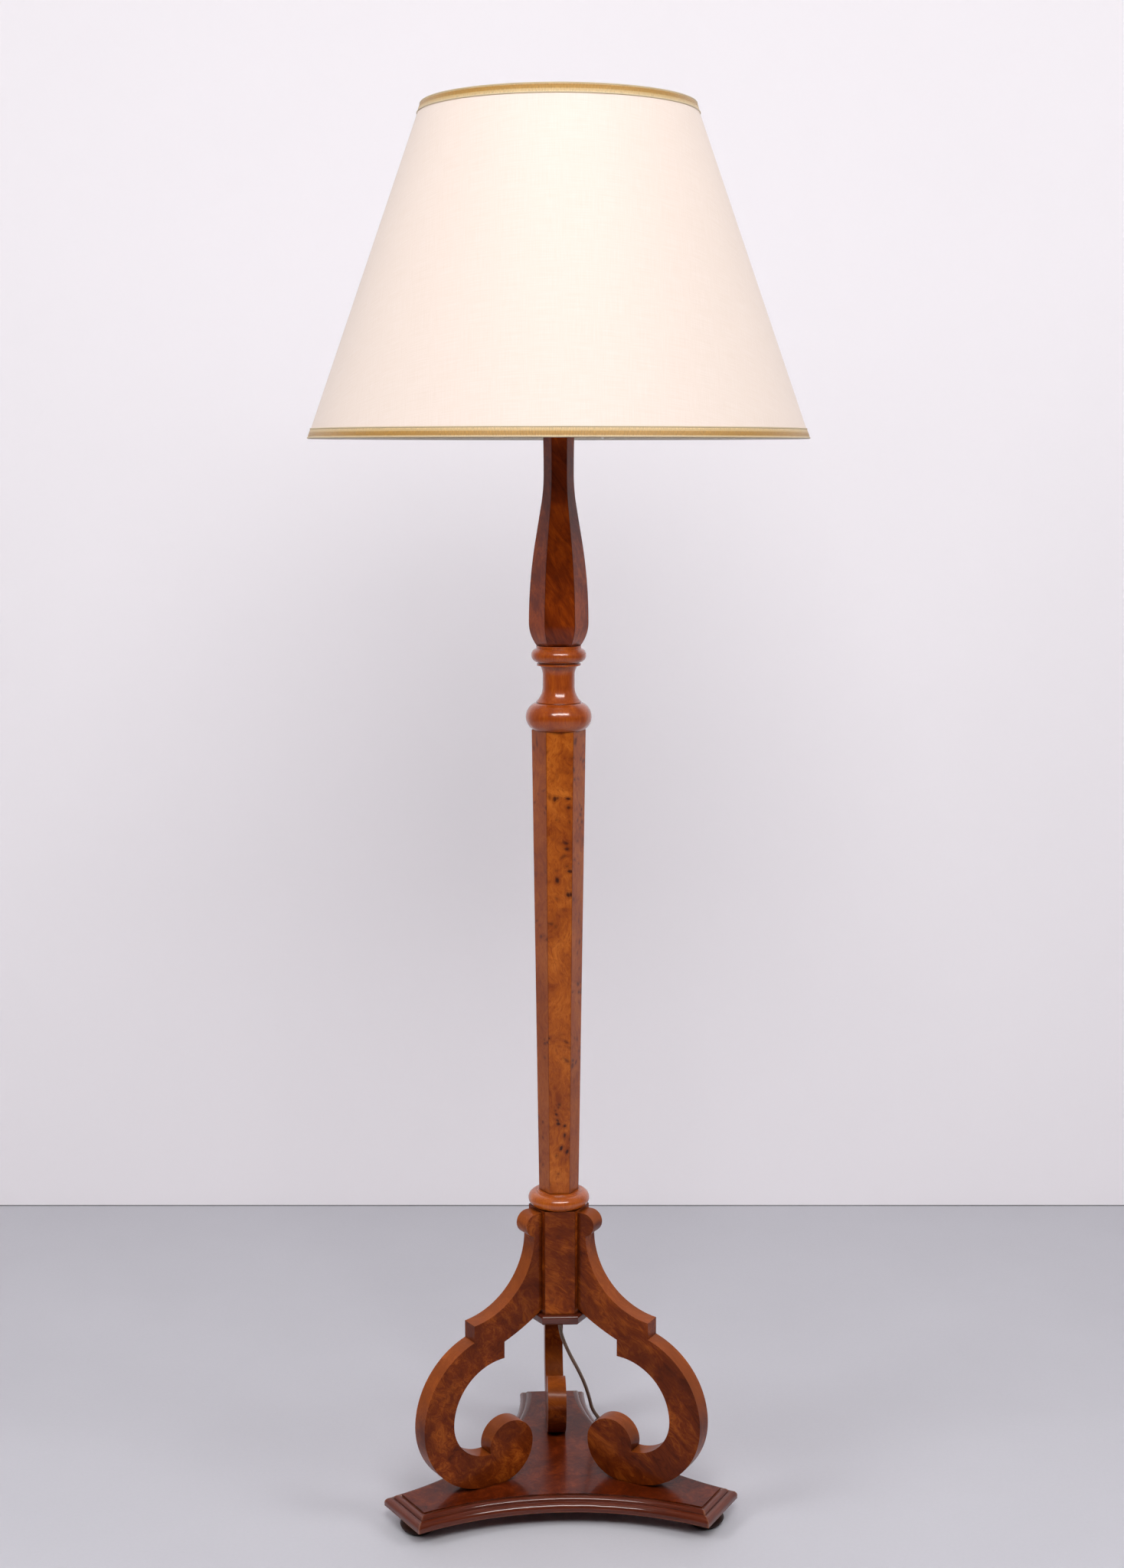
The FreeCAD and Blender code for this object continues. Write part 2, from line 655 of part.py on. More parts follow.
def plate_screw(name, angle, loose):
    return wood_screw(name, "plate_screw_length", polar(s.plate_screw_circle_radius, angle, plate_foot), loose)


def make_block_and_plate():
    block = board("leg_block", "XY_Plane", [hexagon(s.block_radius)], "Sizes.block_height", block_foot)
    bore = cylinder("block_bore", "Sizes.bore_radius", "Sizes.block_height + 2 * Sizes.overrun",
                    Placement(Vector(0, 0, block_foot - s.overrun), Rotation()))
    tenon = s.shaft_tenon_length - s.collar_height
    socket = cylinder("block_socket", "Sizes.shaft_tenon_radius + Sizes.wood_fit",
                      "Sizes.shaft_tenon_length - Sizes.collar_height + Sizes.wood_fit + Sizes.overrun",
                      Placement(Vector(0, 0, block_top - tenon - s.wood_fit), Rotation()))
    tools = [bore, socket]
    for name, angle in zip(LEG_NAMES, LEG_ANGLES):
        for index, level in enumerate(dowel_levels()):
            tools.append(dowel(f"{name}_block_hole_{index}", angle, level, True))
    for index, angle in enumerate(SIDE_ANGLES):
        tools.append(plate_screw(f"block_screw_hole_{index}", angle, True))
    keep(cut("leg_block_drilled", block, tools), "leg_block")

    plate = board("bottom_plate", "XY_Plane", [hexagon(s.plate_radius)], "Sizes.plate_height", plate_foot)
    doc.recompute()
    pad = plate.Tip
    rims = [f"Edge{index}" for index, edge in enumerate(pad.Shape.Edges, start=1)
            if abs(edge.Vertexes[0].Z - edge.Vertexes[1].Z) < s.wood_fit]
    rounding = plate.newObject("PartDesign::Fillet", "plate_rounding")
    rounding.Base = (pad, rims)
    rounding.setExpression("Radius", "Sizes.plate_round")
    plate.Tip = rounding
    tools = [cylinder("plate_bush_hole", "Sizes.bush_radius + Sizes.wood_fit",
                      "Sizes.plate_height + 2 * Sizes.overrun",
                      Placement(Vector(0, 0, plate_foot - s.overrun), Rotation()))]
    for index, angle in enumerate(SIDE_ANGLES):
        tools.append(plate_screw(f"plate_screw_hole_{index}", angle, True))
    keep(cut("bottom_plate_drilled", plate, tools), "bottom_plate")
    screws = [plate_screw(f"plate_screw_{index}", angle, False)
              for index, angle in enumerate(SIDE_ANGLES)]
    keep(compound("plate_screw_group", screws), "plate_screws")

    hole = cord_radius + s.cord_fit
    flange = plate_foot - s.bush_flange_height
    keep(turned("bush", [
        (hole, flange),
        (s.bush_flange_radius - s.quirk_depth, flange),
        (s.bush_flange_radius, flange + s.quirk_depth, SMALL_ROUND_SHARE * s.quirk_depth),
        (s.bush_flange_radius, plate_foot),
        (s.bush_radius, plate_foot),
        (s.bush_radius, block_foot),
        (hole, block_foot),
    ]), "cord_bush")


def make_collar():
    fillet_foot = shaft_foot - s.collar_fillet_height
    height = fillet_foot - block_top
    bulge = s.collar_radius - (s.collar_foot_radius + s.collar_top_radius) / 2
    hole = s.shaft_tenon_radius + s.wood_fit
    keep(turned("collar_turned", [
        (hole, block_top),
        (s.collar_foot_radius, block_top),
        (s.collar_top_radius, fillet_foot, min(bulge, height / 2)),
        (s.collar_fillet_radius, fillet_foot),
        (s.collar_fillet_radius, shaft_foot),
        (hole, shaft_foot),
    ]), "collar")


def make_shaft():
    taper = new_body("shaft_taper")
    low = add_sketch(taper, "XY_Plane", "shaft_foot_section", shaft_foot)
    trace(low, hexagon(s.shaft_foot_radius))
    high = add_sketch(taper, "XY_Plane", "shaft_top_section", shaft_top)
    trace(high, hexagon(s.shaft_top_radius))
    loft = taper.newObject("PartDesign::AdditiveLoft", "shaft_loft")
    loft.Profile = low
    loft.Sections = [high]
    loft.Ruled = True
    taper.Tip = loft
    tenon = cylinder("shaft_tenon", "Sizes.shaft_tenon_radius",
                     "Sizes.shaft_tenon_length + Sizes.overrun",
                     Placement(Vector(0, 0, shaft_foot - s.shaft_tenon_length), Rotation()))
    bore = cylinder("shaft_bore", "Sizes.bore_radius",
                    "Sizes.shaft_length + Sizes.shaft_tenon_length + 2 * Sizes.overrun",
                    Placement(Vector(0, 0, shaft_foot - s.shaft_tenon_length - s.overrun), Rotation()))
    socket = cylinder("shaft_socket", "Sizes.neck_tenon_radius + Sizes.wood_fit",
                      "Sizes.neck_tenon_length + Sizes.wood_fit + Sizes.overrun",
                      Placement(Vector(0, 0, shaft_top - s.neck_tenon_length - s.wood_fit), Rotation()))
    keep(cut("shaft_bored", join("shaft_with_tenon", [taper, tenon]), [bore, socket]), "column_shaft")


def make_neck():
    torus_bulge = s.torus_radius - (s.torus_foot_radius + s.torus_top_radius) / 2
    line = torus_top + s.neck_line_depth
    flare_top = (s.cove_radius, line + s.cove_flare_height)
    throat_top = (s.cove_radius, cove_top - s.cove_top_height)
    cove_foot = (s.cove_foot_radius, line)
    cove_head = (s.cove_top_radius, cove_top)
    tenon_foot = shaft_top - s.neck_tenon_length
    tenon_top = vase_foot + s.neck_tenon_length
    keep(turned("neck", [
        (s.bore_radius, tenon_foot),
        (s.neck_tenon_radius, tenon_foot),
        (s.neck_tenon_radius, shaft_top),
        (s.torus_foot_radius, shaft_top),
        (s.torus_top_radius, torus_top, torus_bulge),
        (s.cove_foot_radius - s.neck_line_depth, torus_top),
        cove_foot,
        (*flare_top, -touching_sagitta(flare_top, cove_foot)),
        throat_top,
        (*cove_head, -touching_sagitta(throat_top, cove_head)),
        (s.band_radius, cove_top),
        (s.band_radius, band_top),
        (s.quirk_radius, band_top),
        (s.quirk_radius, bead_foot),
        (s.bead_end_radius, bead_foot),
        (s.bead_end_radius, bead_top, s.bead_radius - s.bead_end_radius),
        (s.neck_fillet_radius, bead_top),
        (s.neck_fillet_radius, vase_foot),
        (s.neck_tenon_radius, vase_foot),
        (s.neck_tenon_radius, tenon_top),
        (s.bore_radius, tenon_top),
    ]), "neck_turning")


def touching_sagitta(upright_end, other):
    """Sagitta of the arc that runs upright at one end."""
    across = abs(other[0] - upright_end[0])
    rise = abs(other[1] - upright_end[1])
    radius = (across ** 2 + rise ** 2) / (2 * across)
    return arc_sagitta(upright_end, other, radius)


def vase_half_outline():
    """Half width across the flats and height, from the foot to the top."""
    def flat(radius, rise):
        return radius * flat_share, vase_foot + rise
    foot = flat(s.vase_foot_radius, 0)
    belly = flat(s.vase_belly_radius, s.vase_belly_rise)
    slope_foot = flat(s.vase_slope_foot_radius, s.vase_slope_foot_rise)
    slope_top = flat(s.vase_slope_top_radius, s.vase_slope_top_rise)
    throat = flat(s.vase_throat_radius, s.vase_throat_rise)
    top = flat(s.vase_top_radius, s.vase_height)
    return [
        foot,
        (*belly, touching_sagitta(belly, foot)),
        (*slope_foot, touching_sagitta(belly, slope_foot)),
        slope_top,
        (*throat, -touching_sagitta(throat, slope_top)),
        (*top, -touching_sagitta(throat, top)),
    ]


def make_vase():
    """Three profiled slabs, one for each pair of facets, whose common part is the vase."""
    right = vase_half_outline()
    sagittas = [entry[2] if len(entry) > 2 else 0.0 for entry in right]
    left = []
    for index in range(len(right) - 1, -1, -1):
        sagitta = sagittas[index + 1] if index + 1 < len(right) else 0.0
        left.append((-right[index][0], right[index][1], sagitta))
    slabs = []
    for index, angle in enumerate(FACET_ANGLES):
        slab = board(f"vase_slab_{index}", "XZ_Plane", [right + left], "4 * Sizes.vase_belly_radius",
                     both_sides=True)
        slab.Placement = turned_about_axis(angle)
        slabs.append(slab)
    common = doc.addObject("Part::MultiCommon", "vase_facets")
    common.Shapes = slabs
    bore_top = vase_top - s.nipple_sunk - s.wood_fit
    bore = cylinder("vase_bore", "Sizes.bore_radius",
                    "Sizes.vase_height - Sizes.nipple_sunk - Sizes.wood_fit + Sizes.overrun",
                    Placement(Vector(0, 0, vase_foot - s.overrun), Rotation()))
    socket = cylinder("vase_socket", "Sizes.neck_tenon_radius + Sizes.wood_fit",
                      "Sizes.neck_tenon_length + Sizes.wood_fit + Sizes.overrun",
                      Placement(Vector(0, 0, vase_foot - s.overrun), Rotation()))
    thread = cylinder("vase_thread_hole", "Sizes.nipple_radius + Sizes.wood_fit",
                      "Sizes.nipple_sunk + 2 * Sizes.overrun",
                      Placement(Vector(0, 0, bore_top - s.overrun), Rotation()))
    keep(cut("vase_bored", common, [bore, socket, thread]), "vase_turning")


def make_fitting():
    """Threaded tube, cup, lock nut and the lampholder's fixed pieces."""
    nipple_foot = vase_top - s.nipple_sunk
    keep(turned("nipple", [
        (s.nipple_bore_radius, nipple_foot),
        (s.nipple_radius, nipple_foot),
        (s.nipple_radius, nipple_foot + s.nipple_length),
        (s.nipple_bore_radius, nipple_foot + s.nipple_length),
    ]), "threaded_tube")
    hole = s.nipple_radius + s.wood_fit
    keep(turned("cup", [
        (hole, vase_top),
        (s.cup_radius, vase_top),
        (s.holder_neck_radius, cup_top, CUP_BULGE_SHARE * s.cup_height),
        (hole, cup_top),
    ]), "brass_cup")
    wall = s.holder_wall
    cap_bulge = CAP_BULGE_SHARE * s.holder_cap_height
    shoulder = cup_top + CAP_SHOULDER_SHARE * s.holder_cap_height
    cap_shell = turned("cap_shell", [
        (hole, cup_top),
        (s.holder_neck_radius, cup_top),
        (s.holder_radius, shoulder, cap_bulge),
        (s.holder_radius, skirt_foot),
        (s.holder_radius - wall, skirt_foot),
        (s.holder_radius - wall, shoulder),
        (s.holder_neck_radius - wall, cup_top + wall, -cap_bulge),
        (hole, cup_top + wall),
    ])
    key_level = cup_top + s.key_rise
    key_hole = cylinder("key_hole", "Sizes.key_shaft_radius + Sizes.lamp_fit", "2 * Sizes.holder_radius",
                        along(Vector(0, 0, key_level), Vector(1, 0, 0)))
    keep(cut("cap_shell_drilled", cap_shell, [key_hole]), "holder_cap")
    nut = board("nut_blank", "XY_Plane", [hexagon(s.nut_radius)], "Sizes.nut_height", cup_top + wall)
    nut_hole = cylinder("nut_hole", "Sizes.nipple_radius + Sizes.wood_fit", "Sizes.nut_height + 2 * Sizes.overrun",
                        Placement(Vector(0, 0, cup_top + wall - s.overrun), Rotation()))
    keep(cut("nut_drilled", nut, [nut_hole]), "lock_nut")

    skirt_top = skirt_foot + s.holder_skirt_height
    keep(turned("skirt", [
        (s.holder_radius - wall, skirt_foot),
        (s.holder_radius, skirt_foot),
        (s.holder_radius, skirt_top - wall),
        (s.holder_radius - wall, skirt_top, SMALL_ROUND_SHARE * wall),
        (s.holder_radius - 2 * wall, skirt_top),
        (s.holder_radius - 2 * wall, skirt_top - 2 * wall),
        (s.holder_radius - wall, skirt_top - 2 * wall),
    ]), "holder_skirt")

    insert_radius = s.holder_radius - wall - s.wood_fit
    insert_top = skirt_foot + s.insert_height
    floor_top = skirt_foot + s.insert_floor
    insert = turned("insert_blank", [
        (s.nipple_bore_radius, skirt_foot),
        (insert_radius, skirt_foot),
        (insert_radius, insert_top),
        (s.shell_radius + s.wood_fit, insert_top),
        (s.shell_radius + s.wood_fit, floor_top),
        (s.nipple_bore_radius, floor_top),
    ])
    holes = [terminal(f"terminal_hole_{index}", angle, True) for index, angle in enumerate(TERMINAL_ANGLES)]
    keep(cut("insert_drilled", insert, holes), "holder_insert")
    screws = [terminal(f"terminal_{index}", angle, False) for index, angle in enumerate(TERMINAL_ANGLES)]
    keep(compound("terminal_group", screws), "terminal_screws")
    keep(turned("shell", [
        (s.shell_radius - s.shell_wall, floor_top),
        (s.shell_radius, floor_top),
        (s.shell_radius, insert_top),
        (s.shell_radius - s.shell_wall, insert_top),
    ]), "screw_shell")
    keep(turned("contact", [
        (0.0, floor_top),
        (s.shell_radius / 2, floor_top),
        (s.shell_radius / 2, floor_top + s.contact_thickness),
        (0.0, floor_top + 2 * s.contact_thickness),
    ]), "centre_contact")


def terminal(name, angle, loose):
    clearance = s.wood_fit if loose else 0
    ends = " + Sizes.wood_fit" if loose else ""
    spot = polar((s.shell_radius + s.nipple_bore_radius) / 2, angle, skirt_foot - clearance)
    return cylinder(name, grown("terminal_radius", loose), grown("terminal_length", loose) + ends,
                    Placement(spot, Rotation()))


def make_switch():
    key_level = cup_top + s.key_rise
    shaft_start = s.holder_radius - s.key_shaft_length / 2
    keep(cylinder("key_shaft", "Sizes.key_shaft_radius", "Sizes.key_shaft_length",
                  along(Vector(shaft_start, 0, key_level), Vector(1, 0, 0))), "switch_spindle")
    start = shaft_start + s.key_shaft_length
    half = s.key_width / 2
    waist = s.key_thickness / 2
    outline = [
        (start, -waist),
        (start + s.key_length, -half, KEY_SIDE_BULGE_SHARE * s.key_length),
        (start + s.key_length, half, KEY_END_BULGE_SHARE * s.key_width),
        (start, waist, KEY_SIDE_BULGE_SHARE * s.key_length),
    ]
    key = board("key_blade", "XY_Plane", [outline], "Sizes.key_thickness", 0.0, both_sides=True)
    key.Placement = Placement(Vector(0, 0, key_level), Rotation())
    keep(key, "switch_key")


def make_shade_rings():
    ring_foot = skirt_foot + s.ring_rise
    for name, level in (("lower_shade_ring", ring_foot),
                        ("upper_shade_ring", ring_foot + s.ring_height + s.hub_height + 2 * s.lamp_fit)):
        fit = s.lamp_fit if name == "upper_shade_ring" else s.wood_fit
        inner = s.holder_radius + fit
        edge = s.ring_height * SMALL_ROUND_SHARE
        keep(turned(name + "_turned", [
            (inner, level),
            (s.ring_radius - edge, level),
            (s.ring_radius, level + edge, SMALL_ROUND_SHARE * edge),
            (s.ring_radius, level + s.ring_height - edge),
            (s.ring_radius - edge, level + s.ring_height, SMALL_ROUND_SHARE * edge),
            (inner, level + s.ring_height),
        ]), name)


def panel_radius(level):
    """Outside of the shade panel at a height above the floor."""
    share = (level - s.shade_bottom) / s.shade_height
    return s.shade_foot_radius + share * (s.shade_head_radius - s.shade_foot_radius)


def make_shade():
    shade_top = s.shade_bottom + s.shade_height
    keep(turned("panel", [
        (s.shade_foot_radius - s.panel_wall, s.shade_bottom),
        (s.shade_foot_radius, s.shade_bottom),
        (s.shade_head_radius, shade_top),
        (s.shade_head_radius - s.panel_wall, shade_top),
    ]), "shade_panel")
    for name, low in (("bottom_trim", s.shade_bottom), ("top_trim", shade_top - s.trim_height)):
        high = low + s.trim_height
        keep(turned(name + "_band", [
            (panel_radius(low), low),
            (panel_radius(low) + s.trim_wall, low),
            (panel_radius(high) + s.trim_wall, high),
            (panel_radius(high), high),
        ]), name)
    slope = (s.shade_foot_radius - s.shade_head_radius) / s.shade_height
    inward = s.panel_wall + s.wire_radius * math.hypot(1, slope) + s.wood_fit
    for name, level in (("bottom_ring", s.shade_bottom + s.wire_radius + s.wood_fit),
                        ("top_ring", shade_top - s.wire_radius - s.wood_fit)):
        ring = doc.addObject("Part::Torus", name + "_wire")
        ring.Radius1 = panel_radius(level) - inward
        ring.setExpression("Radius2", "Sizes.wire_radius")
        ring.Placement = Placement(Vector(0, 0, level), Rotation())
        keep(ring, name)

    ring_level = s.shade_bottom + s.wire_radius + s.wood_fit
    ring_middle = panel_radius(ring_level) - inward
    hub_foot = skirt_foot + s.ring_rise + s.ring_height + s.lamp_fit
    keep(turned("hub", [
        (s.holder_radius + s.lamp_fit, hub_foot),
        (s.hub_radius, hub_foot),
        (s.hub_radius, hub_foot + s.hub_height),
        (s.holder_radius + s.lamp_fit, hub_foot + s.hub_height),
    ]), "carrier_hub")
    arms = []
    fall = (hub_foot + s.hub_height / 2 - ring_level) / (ring_middle - s.hub_radius)
    for index, angle in enumerate(ARM_ANGLES):
        start = polar(s.hub_radius + s.hub_height / 2 * fall + s.wood_fit, angle, hub_foot + s.hub_height / 2)
        stop = polar(ring_middle - s.wire_radius - s.wood_fit, angle, ring_level)
        arm = doc.addObject("Part::Cylinder", f"carrier_arm_{index}")
        arm.setExpression("Radius", "Sizes.arm_radius")
        arm.Height = (stop - start).Length
        arm.Placement = along(start, stop - start)
        arms.append(arm)
    keep(compound("carrier_arm_group", arms), "carrier_arms")


def make_bulb():
    shell_floor = skirt_foot + s.insert_floor + 2 * s.contact_thickness + s.lamp_fit
    cap_foot = shell_floor + s.bulb_contact_height
    cap_top = cap_foot + s.bulb_cap_height
    foot_radius = s.bulb_cap_radius * CAP_FOOT_SHARE
    foot_bulge = CAP_FOOT_BULGE_SHARE * s.bulb_contact_height
    keep(turned("bulb_contact_plate", [
        (0.0, shell_floor),
        (s.bulb_contact_radius, shell_floor),
        (foot_radius, cap_foot, foot_bulge),
        (0.0, cap_foot),
    ]), "bulb_contact")
    keep(turned("bulb_cap_shell", [
        (0.0, cap_foot),
        (foot_radius, cap_foot),
        (s.bulb_cap_radius, cap_foot + s.bulb_contact_height, foot_bulge),
        (s.bulb_cap_radius, cap_top),
        (s.bulb_cap_radius - s.bulb_wall, cap_top),
        (s.bulb_cap_radius - s.bulb_wall, cap_foot + s.bulb_contact_height),
        (foot_radius, cap_foot + s.bulb_wall),
        (0.0, cap_foot + s.bulb_wall),
    ]), "bulb_cap")
    centre = cap_top + s.bulb_height - s.bulb_radius
    inner = s.bulb_radius - s.bulb_wall
    neck = s.bulb_cap_radius - s.bulb_wall / 2
    waist_turn = math.radians(BULB_WAIST_ANGLE)
    waist = (s.bulb_radius * math.sin(waist_turn), centre - s.bulb_radius * math.cos(waist_turn))
    inner_waist = (inner * math.sin(waist_turn), centre - inner * math.cos(waist_turn))
    sag = GLASS_NECK_BULGE_SHARE * (waist[1] - cap_top)
    top_sagitta = s.bulb_radius * (1 - math.sqrt(0.5))
    inner_sagitta = inner * (1 - math.sqrt(0.5))
    low_sagitta = s.bulb_radius * (1 - math.cos((math.pi / 2 - waist_turn) / 2))
    inner_low = inner * (1 - math.cos((math.pi / 2 - waist_turn) / 2))
    keep(turned("glass", [
        (neck - s.bulb_wall, cap_top, sag),
        (neck, cap_top),
        (*waist, -sag),
        (s.bulb_radius, centre, low_sagitta),
        (0.0, centre + s.bulb_radius, top_sagitta),
        (0.0, centre + inner),
        (inner, centre, -inner_sagitta),
        (*inner_waist, -inner_low),
    ]), "bulb_glass")


def tube(name, edges, expected_radii=()):
    """A round cable swept along a smooth path of lines and arcs."""
    path = Part.Wire(edges)
    start = edges[0].valueAt(edges[0].FirstParameter)
    heading = edges[0].tangentAt(edges[0].FirstParameter)
    circle = Part.Wire(Part.makeCircle(cord_radius, start, heading))
    shape = path.makePipeShell([circle], True, False)
    length = sum(edge.Length for edge in edges)
    section = math.pi * cord_radius ** 2
    print(f"{name}: length {length:.1f}, volume {shape.Volume:.1f}, section times length {section * length:.1f}")
    if expected_radii:
        print(f"{name}: bend radii " + " ".join(f"{radius:.0f}" for radius in expected_radii))
    return solid(name, shape), length


def rounded_route(points):
    """Straight runs joined by tangent arcs, each as large as its two runs allow."""
    corners = [Vector(*point) for point in points]
    edges = []
    radii = []
    here = corners[0]
    for before, corner, after in zip(corners, corners[1:], corners[2:]):
        way_in = (corner - before).normalize()
        way_out = (after - corner).normalize()
        half_turn = way_in.getAngle(way_out) / 2
        trim = ROUTE_TRIM_SHARE * min((corner - before).Length, (after - corner).Length)
        radius = trim / math.tan(half_turn)
        radii.append(radius)
        arc_start = corner - way_in * trim
        arc_end = corner + way_out * trim
        inward = (way_out - way_in).normalize()
        arc_middle = corner + inward * (radius / math.cos(half_turn) - radius)
        edges.append(Part.LineSegment(here, arc_start).toShape())
        edges.append(Part.Arc(arc_start, arc_middle, arc_end).toShape())
        here = arc_end
    edges.append(Part.LineSegment(here, corners[-1]).toShape())
    return edges, radii


def arc_from(start, heading, end):
    """The arc that leaves a point along a heading and ends at another point."""
    chord = end - start
    aside = chord - heading * chord.dot(heading)
    radius = chord.dot(chord) / (2 * aside.Length)
    centre = start + aside.normalize() * radius
    middle = (start + end) * 0.5 - centre
    turn = heading.dot(chord)
    reach = middle.normalize() * radius if turn >= 0 else middle.normalize() * -radius
    return Part.Arc(start, centre + reach, end).toShape()


def biarc(start, start_heading, end, end_heading):
    """Two arcs that share a tangent, between two points with set headings."""
    span = end - start
    both = start_heading + end_heading
    spread = 2 * (1 - start_heading.dot(end_heading))
    reach = (math.sqrt(span.dot(both) ** 2 + spread * span.dot(span)) - span.dot(both)) / spread
    first_corner = start + start_heading * reach
    second_corner = end - end_heading * reach
    joint = (first_corner + second_corner) * 0.5
    joint_heading = (second_corner - first_corner).normalize()
    return [arc_from(start, start_heading, joint), arc_from(joint, joint_heading, end)]


def coil_points():
    """The coil's path: half turns inwards, one climbing half turn, half turns outwards, with straight ends."""
    centre = Vector(*COIL_CENTRE, 0)
    axis = polar(1, COIL_START_ANGLE)
    forward = polar(1, COIL_START_ANGLE + 90)
    low = cord_radius + s.coil_lift
    high = low + s.coil_layer
    half_turns = round(2 * s.coil_turns)
    radii = [s.coil_outer - index * s.coil_pitch / 2 for index in range(half_turns + 1)]
    stations = [(radius, low) for radius in radii] + [(radius, high) for radius in reversed(radii)]
    edges = []
    side = 1
    points = []
    for radius, level in stations:
        points.append(centre + axis * (side * radius) + UP * level)
        side = -side
    sign = 1
    start_straight = points[0] - forward * s.cord_width
    edges.append(Part.LineSegment(start_straight, points[0]).toShape())
    for first, second in zip(points, points[1:]):
        edges.extend(biarc(first, forward * sign, second, forward * -sign))
        sign = -sign
    end_straight = points[-1] + forward * (sign * s.cord_width)
    edges.append(Part.LineSegment(points[-1], end_straight).toShape())
    return edges, start_straight, forward, end_straight, forward * sign


def coil_gap(edges):
    """Least gap between different turns, on points along the path."""
    spots = []
    travelled = 0.0
    for edge in edges:
        count = max(2, int(edge.Length / cord_radius))
        for index in range(count):
            share = index / count
            parameter = edge.FirstParameter + share * (edge.LastParameter - edge.FirstParameter)
            spots.append((travelled + share * edge.Length, edge.valueAt(parameter)))
        travelled += edge.Length
    nearest = travelled
    for index, (place, point) in enumerate(spots):
        for other_place, other in spots[index + 1:]:
            if other_place - place > 4 * s.cord_width:
                nearest = min(nearest, (point - other).Length)
    return nearest - s.cord_width


def make_cord():
    inner_top = vase_top + s.nipple_length - s.nipple_sunk
    bush_foot = plate_foot - s.bush_flange_height
    lead = doc.addObject("Part::Cylinder", "lead")
    lead.setExpression("Radius", "Sizes.cord_width / 2")
    lead.Height = inner_top - bush_foot
    lead.Placement = Placement(Vector(0, 0, bush_foot), Rotation())
    keep(lead, "inner_cord")
    edges, coil_in, in_heading, coil_out, out_heading = coil_points()
    coil, coil_length = tube("coil", edges)
    keep(coil, "cord_coil")
    print(f"coil: least gap to itself {coil_gap(edges):.2f}")

    route = [(0.0, 0.0, bush_foot)] + DROP_ROUTE + [tuple(coil_in)]
    edges, radii = rounded_route(route)
    drop, drop_length = tube("drop", edges, radii)
    keep(drop, "cord_drop")

    plug_start = Vector(*TAIL_ROUTE[-1][:2], s.plug_thickness / 2)
    edges, radii = rounded_route([tuple(coil_out)] + TAIL_ROUTE[:-1] + [tuple(plug_start)])
    tail, tail_length = tube("tail", edges, radii)
    keep(tail, "cord_tail")
    print(f"cord: free length {drop_length + coil_length + tail_length:.0f}")
    make_plug(plug_start)
    make_tie()


def make_plug(start):
    half = s.plug_width / 2
    waist = s.plug_waist / 2
    nose = s.plug_length * PLUG_NOSE_SHARE
    outline = [
        (0.0, -waist),
        (s.plug_length - nose, -half, PLUG_BULGE_SHARE * s.plug_length),
        (s.plug_length, -half),
        (s.plug_length, half),
        (s.plug_length - nose, half),
        (0.0, waist, PLUG_BULGE_SHARE * s.plug_length),
    ]
    body = board("plug_blank", "XY_Plane", [outline], "Sizes.plug_thickness", 0.0, both_sides=True)
    body.Placement = Placement(start, Rotation(UP, PLUG_HEADING))
    keep(body, "plug_body")
    pins = []
    for index, side in enumerate((-1, 1)):
        spot = start + polar(s.plug_length, PLUG_HEADING) + polar(side * s.pin_centres_width / 2, PLUG_HEADING + 90)
        pins.append(cylinder(f"plug_pin_{index}", "Sizes.pin_radius", "Sizes.pin_length",
                             along(spot, polar(1, PLUG_HEADING))))
    keep(compound("plug_pin_group", pins), "plug_pins")


def make_tie():
    """A flat band round all the turns on the coil's side that lies outside the base."""
    inner_turn = s.coil_outer - s.coil_turns * s.coil_pitch
    gap = s.coil_lift - s.tie_wall
    bow = s.tie_width ** 2 / (8 * inner_turn)
    near = inner_turn - cord_radius - gap - bow
    far = s.coil_outer + cord_radius + gap
    low = s.coil_lift - gap
    high = s.coil_lift + s.cord_width + s.coil_layer + gap
    outer = [(near - s.tie_wall, low - s.tie_wall), (far + s.tie_wall, low - s.tie_wall),
             (far + s.tie_wall, high + s.tie_wall), (near - s.tie_wall, high + s.tie_wall)]
    inner = [(near, low), (near, high), (far, high), (far, low)]
    tie = board("tie", "XZ_Plane", [outer, inner], "Sizes.tie_width", both_sides=True)
    tie.Placement = Placement(Vector(*COIL_CENTRE, 0), Rotation(UP, TIE_ANGLE))
    keep(tie, "coil_tie")


def build():
    make_base_panel()
    for index, angle in enumerate(SIDE_ANGLES):
        make_side_moulding(f"side_moulding_{index + 1}", angle, LEG_ANGLES[index], LEG_ANGLES[(index + 1) % 3])
    for index, angle in enumerate(LEG_ANGLES):
        make_end_moulding(f"end_moulding_{index + 1}", angle)
    for name, angle in zip(LEG_NAMES, LEG_ANGLES):
        make_foot("foot_" + name, angle)
    make_legs()
    make_block_and_plate()
    make_collar()
    make_shaft()
    make_neck()
    make_vase()
    make_fitting()
    make_switch()
    make_shade_rings()
    make_bulb()
    make_shade()
    make_cord()
    doc.recompute()


def export():
    os.makedirs("parts", exist_ok=True)
    for item in doc.Objects:
        if "Invalid" in item.State or "Error" in item.State:
            raise RuntimeError(f"{item.Name} did not build: {item.State}")
    for feature in NODES:
        shape = feature.Shape
        if shape.isNull() or not shape.isValid() or not shape.Solids:
            raise RuntimeError(f"{feature.Label} is not a valid solid")
    for feature in NODES:
        feature.Shape.exportStep(os.path.join("parts", feature.Label + ".step"))
        box = feature.Shape.BoundBox
        print(f"{feature.Label}: {len(feature.Shape.Solids)} solids, volume {feature.Shape.Volume:.0f}, "
              f"z {box.ZMin:.1f} to {box.ZMax:.1f}")
    print(f"{len(NODES)} nodes")


build()
export()
